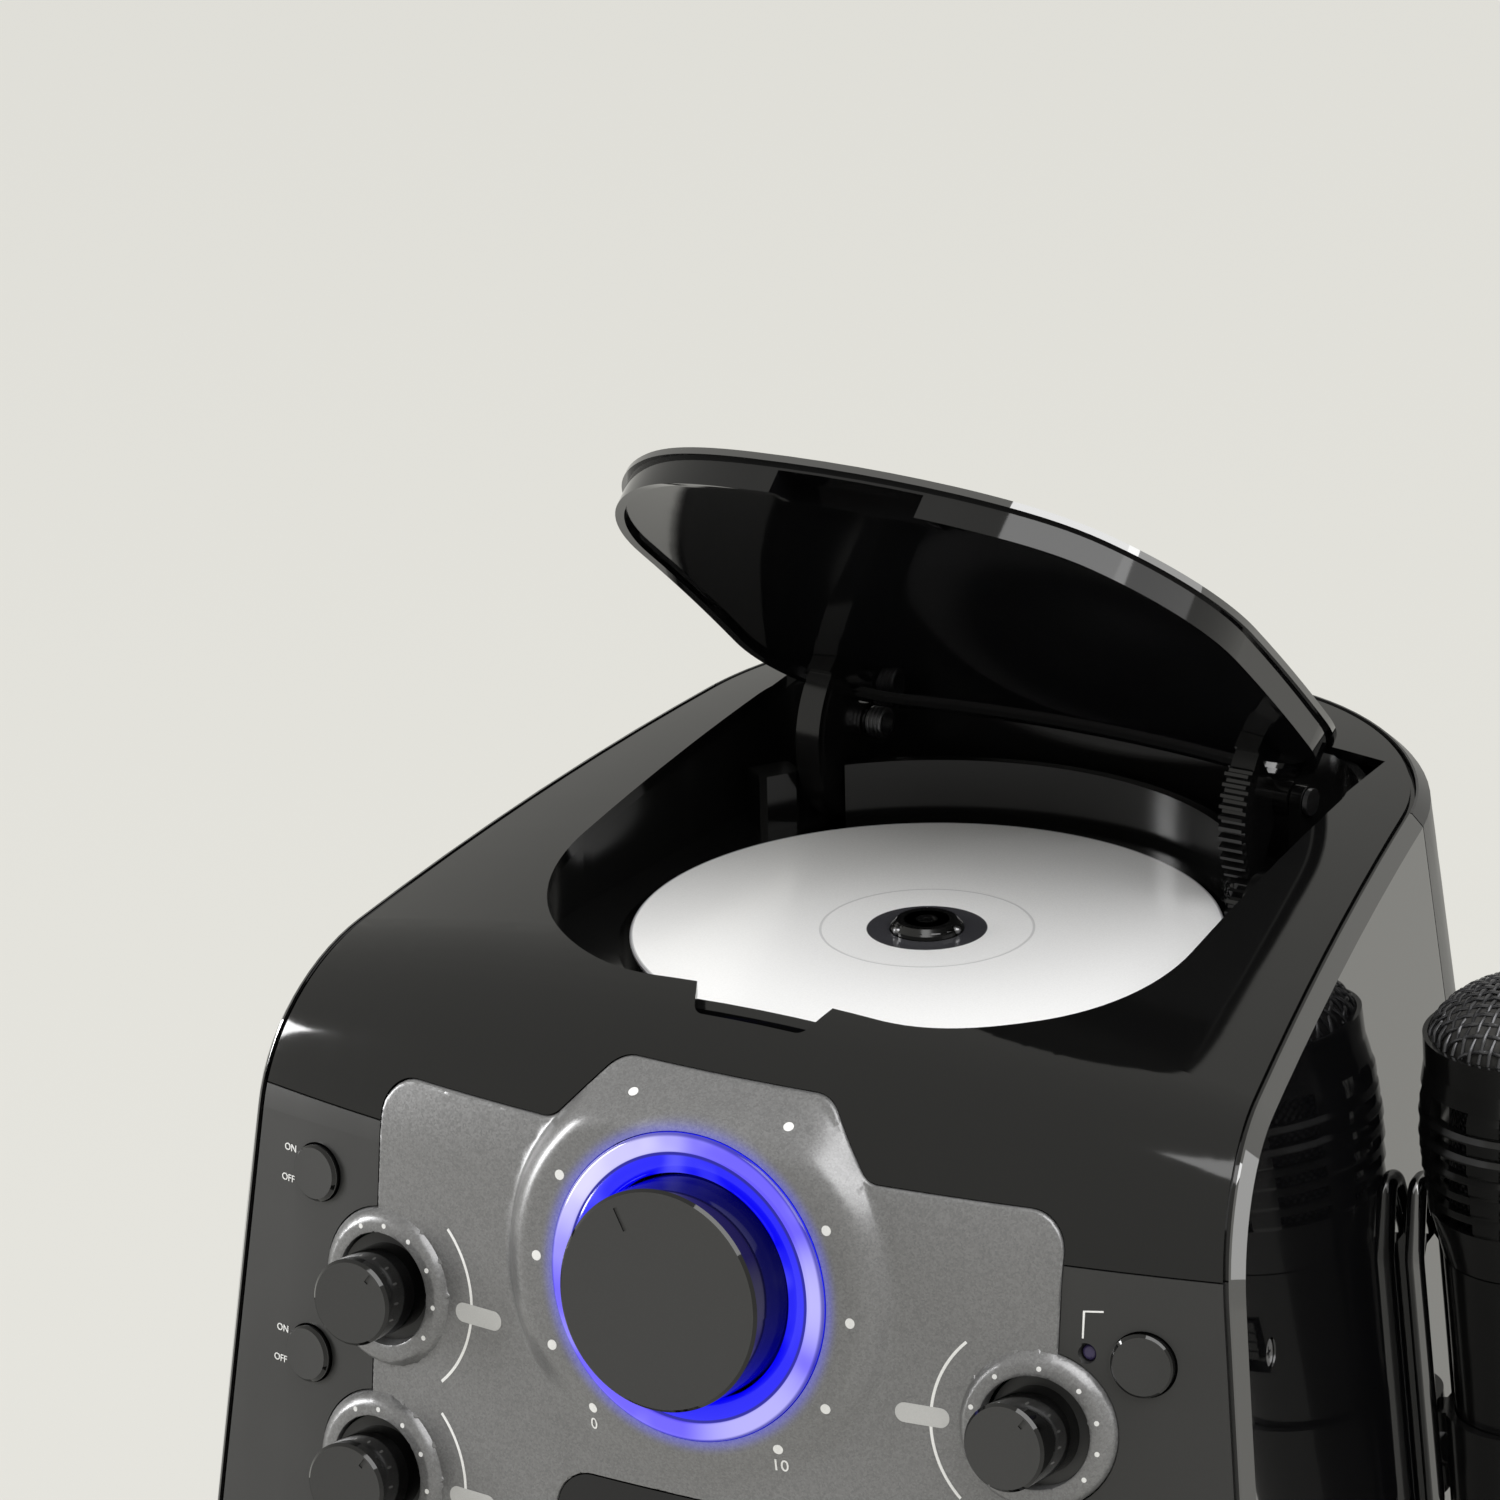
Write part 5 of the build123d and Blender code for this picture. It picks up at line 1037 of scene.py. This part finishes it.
def dots(name, centres, radius):
    """centres: x and level of the knob, then angle and distance of the dot."""
    spots, facings = [], []
    for x, level, angle, away in centres:
        turn = math.radians(angle)
        spot = print_spot(x, level, away * math.sin(turn), away * math.cos(turn))
        spots.append(laid(*spot, panel_y, -DOT_SUNK))
        facings.extend(facing_out(*spot, panel_y))
    seeds = plain_mesh(name + "_places", spots)
    seeds.attributes.new("facing", "FLOAT_VECTOR", "POINT").data.foreach_set("vector", facings)
    mesh = grown(name, seeds, DOT_GROUP, Dot_Radius=radius)
    return dressed(name, mesh, INK, "cabinet")


dots("volume_dots", [(0, DIAL_LEVEL, *dot) for dot in VOLUME_DOTS], VOLUME_DOT)
dots("knob_dots", [
    (side * SMALL_X, level, angle, SMALL_DOT_AWAY)
    for name, (side, level) in KNOBS.items()
    for angle in (BALANCE_DOTS if name == "balance" else ROUND_DOTS)
], SMALL_DOT)

# %% [markdown]
# A line sweeps round the outer side of each small knob and ends at a bare tag, where such
# machines print what the knob is for. Both are ribbons: the arc between two circles, and
# the tag between its lower and its upper edge.

# %% Printed marks: arcs and tags
ARC_RADIUS = 0.0220
ARC_WIDTH = 0.0006
ARC_FROM, ARC_TO = 44, 137
TAG_LENGTH = 0.0115
TAG_HEIGHT = 0.0040
TAG_AWAY = 0.0238
TAG_DROP = 0.0004


def arc_strip(name, x, level, side):
    """An arc on one side of a knob; its angles run down from the knob's top."""
    turns = [-side * math.radians(ARC_FROM + (ARC_TO - ARC_FROM) * k / 48) for k in range(49)]
    edges = [
        [print_spot(x, level, radius * math.sin(a), radius * math.cos(a)) for a in turns]
        for radius in (ARC_RADIUS - ARC_WIDTH / 2, ARC_RADIUS + ARC_WIDTH / 2)
    ]
    return strip(name, *edges, panel_y, INK)


def tag(name, x, level, steps=9):
    """A bare tag with round ends."""
    half = TAG_HEIGHT / 2
    end = [half * (1 - math.cos(math.pi / 2 * k / steps)) for k in range(steps + 1)]
    round_end = [(e, math.sqrt(max(half**2 - (half - e) ** 2, 1e-10))) for e in end]
    spots = [(e - TAG_LENGTH / 2, h) for e, h in round_end]
    spots += [(half - TAG_LENGTH / 2 + (TAG_LENGTH - TAG_HEIGHT) * k / 6, half) for k in range(1, 6)]
    spots += [(TAG_LENGTH / 2 - e, h) for e, h in round_end[::-1]]
    low, high = ([print_spot(x, level, a, way * h) for a, h in spots] for way in (-1, 1))
    return strip(name, low, high, panel_y, GREY_INK, WORD_PROUD)


for name, (side, level) in KNOBS.items():
    arc_strip(name + "_arc", side * SMALL_X, level, side)
    tag(name + "_tag", side * (SMALL_X - TAG_AWAY), level - TAG_DROP)

# %% [markdown]
# The status light and the round button beside it belong together: a thin printed line
# bends from one over the other. It is the same ribbon, with one corner.

# %% Printed marks: the status light's bracket
LIGHT_X, LIGHT_LEVEL = 0.0838, 0.2644
BRACKET = ((-0.0009, 0.0030), (-0.0009, 0.0084), (0.0030, 0.0088))
BRACKET_WIDTH = 0.00035
MITRE = 1.4


def bracket(name, path):
    """A line of ink along straight runs; the corner is mitred."""
    lefts, rights = [], []
    for k, spot in enumerate(path):
        before, after = path[max(k - 1, 0)], path[min(k + 1, len(path) - 1)]
        run = Vector((after[0] - before[0], after[1] - before[1])).normalized()
        at_corner = 0 < k < len(path) - 1
        side = Vector((-run.y, run.x)) * BRACKET_WIDTH / 2 * (MITRE if at_corner else 1)
        lefts.append((spot[0] + side.x, spot[1] + side.y))
        rights.append((spot[0] - side.x, spot[1] - side.y))
    return strip(name, lefts, rights, skin_y, INK)


bracket("pair_bracket", [(LIGHT_X + x, LIGHT_LEVEL + z) for x, z in BRACKET])

# %% [markdown]
# A switch says ON and OFF, and a dial runs from 0 to 10. Each word is set as text, made a
# mesh, and then wrapped onto the leaning front point by point.

# %% Printed marks: words and numbers
CAPITAL = 0.72
NUMBER_HEIGHT = 0.0026
NUMBER_X = 0.0214
NUMBER_LEVEL = DIAL_LEVEL - 0.0328
WORD_HEIGHT = 0.0015
SWITCHES = {"power": (-0.0944, 0.2666), "light": (-0.0952, 0.2285)}


def word(name, text, x, level, height, depth, slot):
    """Text centred on a front-view place; height is that of a capital letter."""
    data = bpy.data.curves.new(name, "FONT")
    data.body = text
    data.size = height / CAPITAL
    data.extrude = WORD_PROUD
    data.align_x = "CENTER"
    data.align_y = "CENTER"
    data.resolution_u = 3
    shape = bmesh.new()
    shape.from_mesh(as_mesh(bpy.data.objects.new(name + "_text", data)))
    bmesh.ops.remove_doubles(shape, verts=shape.verts, dist=EMPTY_EDGE)
    for vert in shape.verts:
        spot = print_spot(x, level, vert.co.x, vert.co.y)
        vert.co = laid(*spot, depth, WORD_PROUD if vert.co.z > 0 else INK_FOOT)
    return finished(name, shape, INK, "cabinet")


for name, text, x in (("dial_low_number", "0", -NUMBER_X), ("dial_high_number", "10", NUMBER_X)):
    word(name, text, x, NUMBER_LEVEL, NUMBER_HEIGHT, panel_y, "panel_grey")
for name, (x, level) in SWITCHES.items():
    word(name + "_on_word", "ON", x - 0.0078, level + 0.0030, WORD_HEIGHT, skin_y, "shell_black")
    word(name + "_off_word", "OFF", x - 0.0082, level - 0.0034, WORD_HEIGHT, skin_y, "shell_black")

# %% [markdown]
# The disc is a clear plate printed white on top from a little outside its hole to its rim.
# Round the hole the bare plastic looks dark, and the stacking ring shows through the white
# as a faint circle. A turned profile gives its true edges, and the print is a step in colour
# by distance from the spindle, which stays sharp at any size of picture.

# %% Disc
DISC_TOP = 0.308
DISC_LOW = 0.3068
DISC_RADIUS = 0.060
DISC_HOLE = 0.0075
PRINT_FROM = 0.0122
PRINT_THICK = 0.00005
STACKING_RING = (0.0213, 0.0218)
PRINTED_RIM = (0.0593, 0.0595)
spindle = Matrix.Translation((0, SPINDLE_Y, 0))


def disc_finish():
    graph = Finish("disc_print")
    x, y, z = graph.place().axes()
    y = y - SPINDLE_Y
    radius = (x * x + y * y).root()
    white = radius.step(PRINT_FROM - 0.0001, PRINT_FROM + 0.0001)
    ring = radius.band(*STACKING_RING, 0.0001)
    rim = radius.step(*PRINTED_RIM)
    speck = graph.noise(2600.0, 3.0)
    ink = graph.mix_colour(speck, rgb(228, 228, 229), rgb(247, 247, 248))
    ink = graph.mix_colour((ring * 0.5 + rim).clamp(), ink, rgb(176, 176, 180))
    return graph.principled(
        Base_Color=graph.mix_colour(white, rgb(58, 58, 62), ink), Roughness=white * 0.2 + 0.08,
        Normal=graph.bump(ring + speck * 0.02, 0.00005), Coat_Weight=0.35, Coat_Roughness=0.12,
    )


clear_top = DISC_TOP - PRINT_THICK
disc_profile = [
    (DISC_HOLE, DISC_LOW + 0.0001), (DISC_HOLE + 0.0001, DISC_LOW), (DISC_RADIUS - 0.0002, DISC_LOW),
    (DISC_RADIUS, DISC_LOW + 0.0003), (DISC_RADIUS, DISC_TOP - 0.0003), (DISC_RADIUS - 0.0003, DISC_TOP),
    (PRINT_FROM, DISC_TOP), (PRINT_FROM - 0.0003, clear_top), (DISC_HOLE + 0.0001, clear_top),
    (DISC_HOLE, DISC_TOP - 0.0002),
]
disc = spun("disc_fine", disc_profile, spindle, disc_finish(), "turntable", 160)
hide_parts("disc")

# %% [markdown]
# The hub that grips the disc is a small turned cap, and shallow flutes round its top catch
# the light. The flutes are cut into the profile's radius as it turns, because they fade out
# both towards the middle and towards the foot.

# %% Spindle cap
FLUTES = 12
FLUTE_DEPTH = 0.00035
CAP_STEPS = 144
FLUTE_RADII = (0.0050, 0.0066)
FLUTE_RISE = (0.0, 0.0012)
CAP_PROFILE = [
    (0.0, 0.0), (0.0, 0.0016), (0.0018, 0.0017), (0.0022, 0.0020), (0.0046, 0.0020),
    (0.0062, 0.0018), (0.0070, 0.0012), (0.00725, 0.0004), (0.00725, 0.0),
]


def cap_point(angle, radius, height):
    flute = max(0.0, math.cos(FLUTES * angle)) ** 2
    radius -= FLUTE_DEPTH * flute * rise(radius, *FLUTE_RADII) * rise(height, *FLUTE_RISE)
    return spindle @ Vector((radius * math.cos(angle), radius * math.sin(angle), DISC_TOP + height))


joined(
    "spindle_cap_fluted", [[cap_point(a, *spot) for spot in CAP_PROFILE] for a in round_turn(CAP_STEPS)],
    KNOB_BLACK, "turntable", 40,
)

# %% [markdown]
# Three sprung balls look out of the hub's side and hold the disc's hole. They are one ball
# on each point of a circle, so their number is an input of the group.

# %% Hub balls
BALLS = {"Ball Radius": 0.0010, "Count": 3.0, "Reach": 0.0068, "Level": 0.3087}


def ball_group(finish):
    group = Repeat("hub_balls", BALLS)
    circle = group.add("GeometryNodeMeshCircle", Vertices=group.given("Count"), Radius=group.given("Reach"))
    ball = group.add("GeometryNodeMeshIcoSphere", Subdivisions=3, Radius=group.given("Ball Radius"))
    copies = group.add("GeometryNodeInstanceOnPoints", Points=circle, Instance=ball)
    lift = group.add("ShaderNodeCombineXYZ", Z=group.given("Level"))
    return group.end(group.add("GeometryNodeTransform", Geometry=copies, Translation=lift), finish)


balls = grown("hub_balls", plain_mesh("hub_seed", [(0, 0, 0)]), ball_group(FINISHES["steel"]))
balls.transform(spindle)
dressed("hub_balls", balls, FINISHES["steel"], "turntable")

# %% [markdown]
# The ring round the volume knob is a light guide of clear acrylic, lit from behind. A turned
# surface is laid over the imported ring, because its profile is what shows: two lit zones with
# a groove between them, and rounded edges that catch the lamps.

# %% Volume ring
RING_FOOT = -0.0012
RING_INNER = 0.0231
RING_OUTER = 0.03118
ring_profile = [
    (RING_INNER, RING_FOOT), (RING_INNER, 0.0003), (0.0234, 0.0007), (0.0240, 0.0009), (0.0266, 0.0009),
    (0.0269, 0.0006), (0.0274, 0.0006), (0.0277, 0.0010), (0.0300, 0.0011), (0.0308, 0.0008),
    (RING_OUTER, 0.0003), (RING_OUTER, RING_FOOT),
]
ring_place = front_frame(0, DIAL_LEVEL, DISH_PROUD)
spun("ring_light_guide", ring_profile, ring_place, RING_LIGHT, "cabinet", 160, 50)

# %% [markdown]
# The microphone's head is woven wire pressed to a dome. The wires are made by Geometry
# Nodes: lines over the dome in one direction and the same in the other, each lifted and
# lowered by turns so that it runs over and under its neighbours.

# %% Microphone dome
MIC_AXIS = (0.1218, SPINDLE_Y + 0.0308)
DOME_LEVEL = 0.297
DOME_RADIUS = 0.0210
DOME_HEIGHT = 0.0113
DOME_POWER = 0.62
PITCH = 0.0022
LINE_END = 0.00005
WEAVE = {"Wire Radius": 0.00042, "Lift": 0.00030, "Dome Radius": DOME_RADIUS, "Dome Height": DOME_HEIGHT}


def weave_group(finish):
    """Raises flat seed lines to a dome; a seed point's z says how far it runs over or under."""
    group = Repeat("woven_dome", WEAVE)
    x, y, over = group.add("GeometryNodeInputPosition").axes()
    share = ((x * x + y * y).root() / group.given("Dome Radius")).maths("MINIMUM", 0.9995)
    height = group.given("Dome Height") * (1 - share * share) ** DOME_POWER
    swing = over * group.given("Lift")
    spread = 1 + swing * share / group.given("Dome Radius")
    raised = height + swing * (1 - share * 0.8)
    place = group.add("ShaderNodeCombineXYZ", None, x * spread, y * spread, raised)
    lines = group.add("GeometryNodeSetPosition", Geometry=group.given("Geometry"), Position=place)
    curves = group.add("GeometryNodeMeshToCurve", Mesh=lines)
    section = group.add("GeometryNodeCurvePrimitiveCircle", Resolution=6, Radius=group.given("Wire Radius"))
    wires = group.add("GeometryNodeCurveToMesh", Curve=curves, Profile_Curve=section, Fill_Caps=True)
    return group.end(wires, finish)


def wire_lines(pitch, radius, parts=4):
    """Seed lines in both directions. A point's z is its lift: +1 over, -1 under."""
    points, edges = [], []
    count = int(radius / pitch)
    for way in (0, 1):
        for k in range(-count, count + 1):
            line = k * pitch
            half = math.sqrt(radius**2 - line**2) - LINE_END
            steps = max(4, round(2 * half / (pitch / parts)))
            for step in range(steps + 1):
                along = -half + 2 * half * step / steps
                lift = math.cos(math.pi * (along / pitch + k)) * (1 if way else -1)
                points.append((along, line, lift) if way else (line, along, lift))
                if step:
                    edges.append((len(points) - 2, len(points) - 1))
    return plain_mesh("wire_lines", points, edges=edges)


dome_place = Matrix.Translation((*MIC_AXIS, DOME_LEVEL))
weave = grown("mic_woven_dome", wire_lines(PITCH, DOME_RADIUS), weave_group(FINISHES["mesh_black"]))
weave.transform(dome_place)
woven = dressed("mic_woven_dome", weave, FINISHES["mesh_black"], "microphone", 60)
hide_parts("mic_grille")

# %% [markdown]
# Black foam lies under the weave, so nothing shows through but dark. It is the same dome a
# wire's thickness smaller.

# %% Foam under the dome
FOAM_INSET = 0.0009
FOAM_FOOT = -0.0010
FOAM_STEPS = 14
foam_radius, foam_height = DOME_RADIUS - FOAM_INSET, DOME_HEIGHT - FOAM_INSET
turns = [math.pi / 2 * k / FOAM_STEPS for k in range(FOAM_STEPS)]
foam_line = [(foam_radius * math.cos(a) ** 0.9, foam_height * math.sin(a)) for a in turns]
foam_profile = [(0.0, FOAM_FOOT), (foam_radius, FOAM_FOOT), *foam_line, (0.0, foam_height)]
spun("mic_foam", foam_profile, dome_place, FINISHES["cone_paper"], "microphone", 64)

# %% [markdown]
# Behind the slots of the basket stands a sleeve of the same mesh, so the slots look dark
# in the middle and let the light through only near the edge. At this depth the weave is
# too small to need real wires: a chequer in colour, metal and bump is enough.

# %% Mesh sleeve behind the slots
SLEEVE_INNER, SLEEVE_OUTER = 0.0166, 0.0172
SLEEVE_FOOT, SLEEVE_TOP = 0.2560, 0.2966


def sleeve_finish():
    """Woven wire as seen from outside: a fine chequer of wire tops in the wire's own grey, and gaps painted
    near black as the shade inside.
    """
    graph = Finish("mesh_sleeve_finish")
    x, y, z = graph.place().axes()
    turn = graph.add("ShaderNodeMath", {"operation": "ARCTAN2"}, y - MIC_AXIS[1], x - MIC_AXIS[0])
    wires = (turn * 62.0).maths("SINE") * (z * 3100.0).maths("SINE")
    tops = wires.step(0.1, 0.8)
    # The near black of the gaps is painted shade, standing for the dark inside seen through the weave.
    tone = graph.mix_colour(tops, rgb(6, 6, 6), rgb(70, 70, 72))
    return graph.principled(
        Base_Color=tone, Metallic=tops * 0.8, Roughness=0.3, Normal=graph.bump(wires, 0.0002)
    )


sleeve_profile = [
    (SLEEVE_INNER, SLEEVE_FOOT), (SLEEVE_OUTER, SLEEVE_FOOT),
    (SLEEVE_OUTER, SLEEVE_TOP), (SLEEVE_INNER, SLEEVE_TOP),
]
mic_place = Matrix.Translation((*MIC_AXIS, 0))
spun("mic_mesh_sleeve", sleeve_profile, mic_place, sleeve_finish(), "microphone", 64)
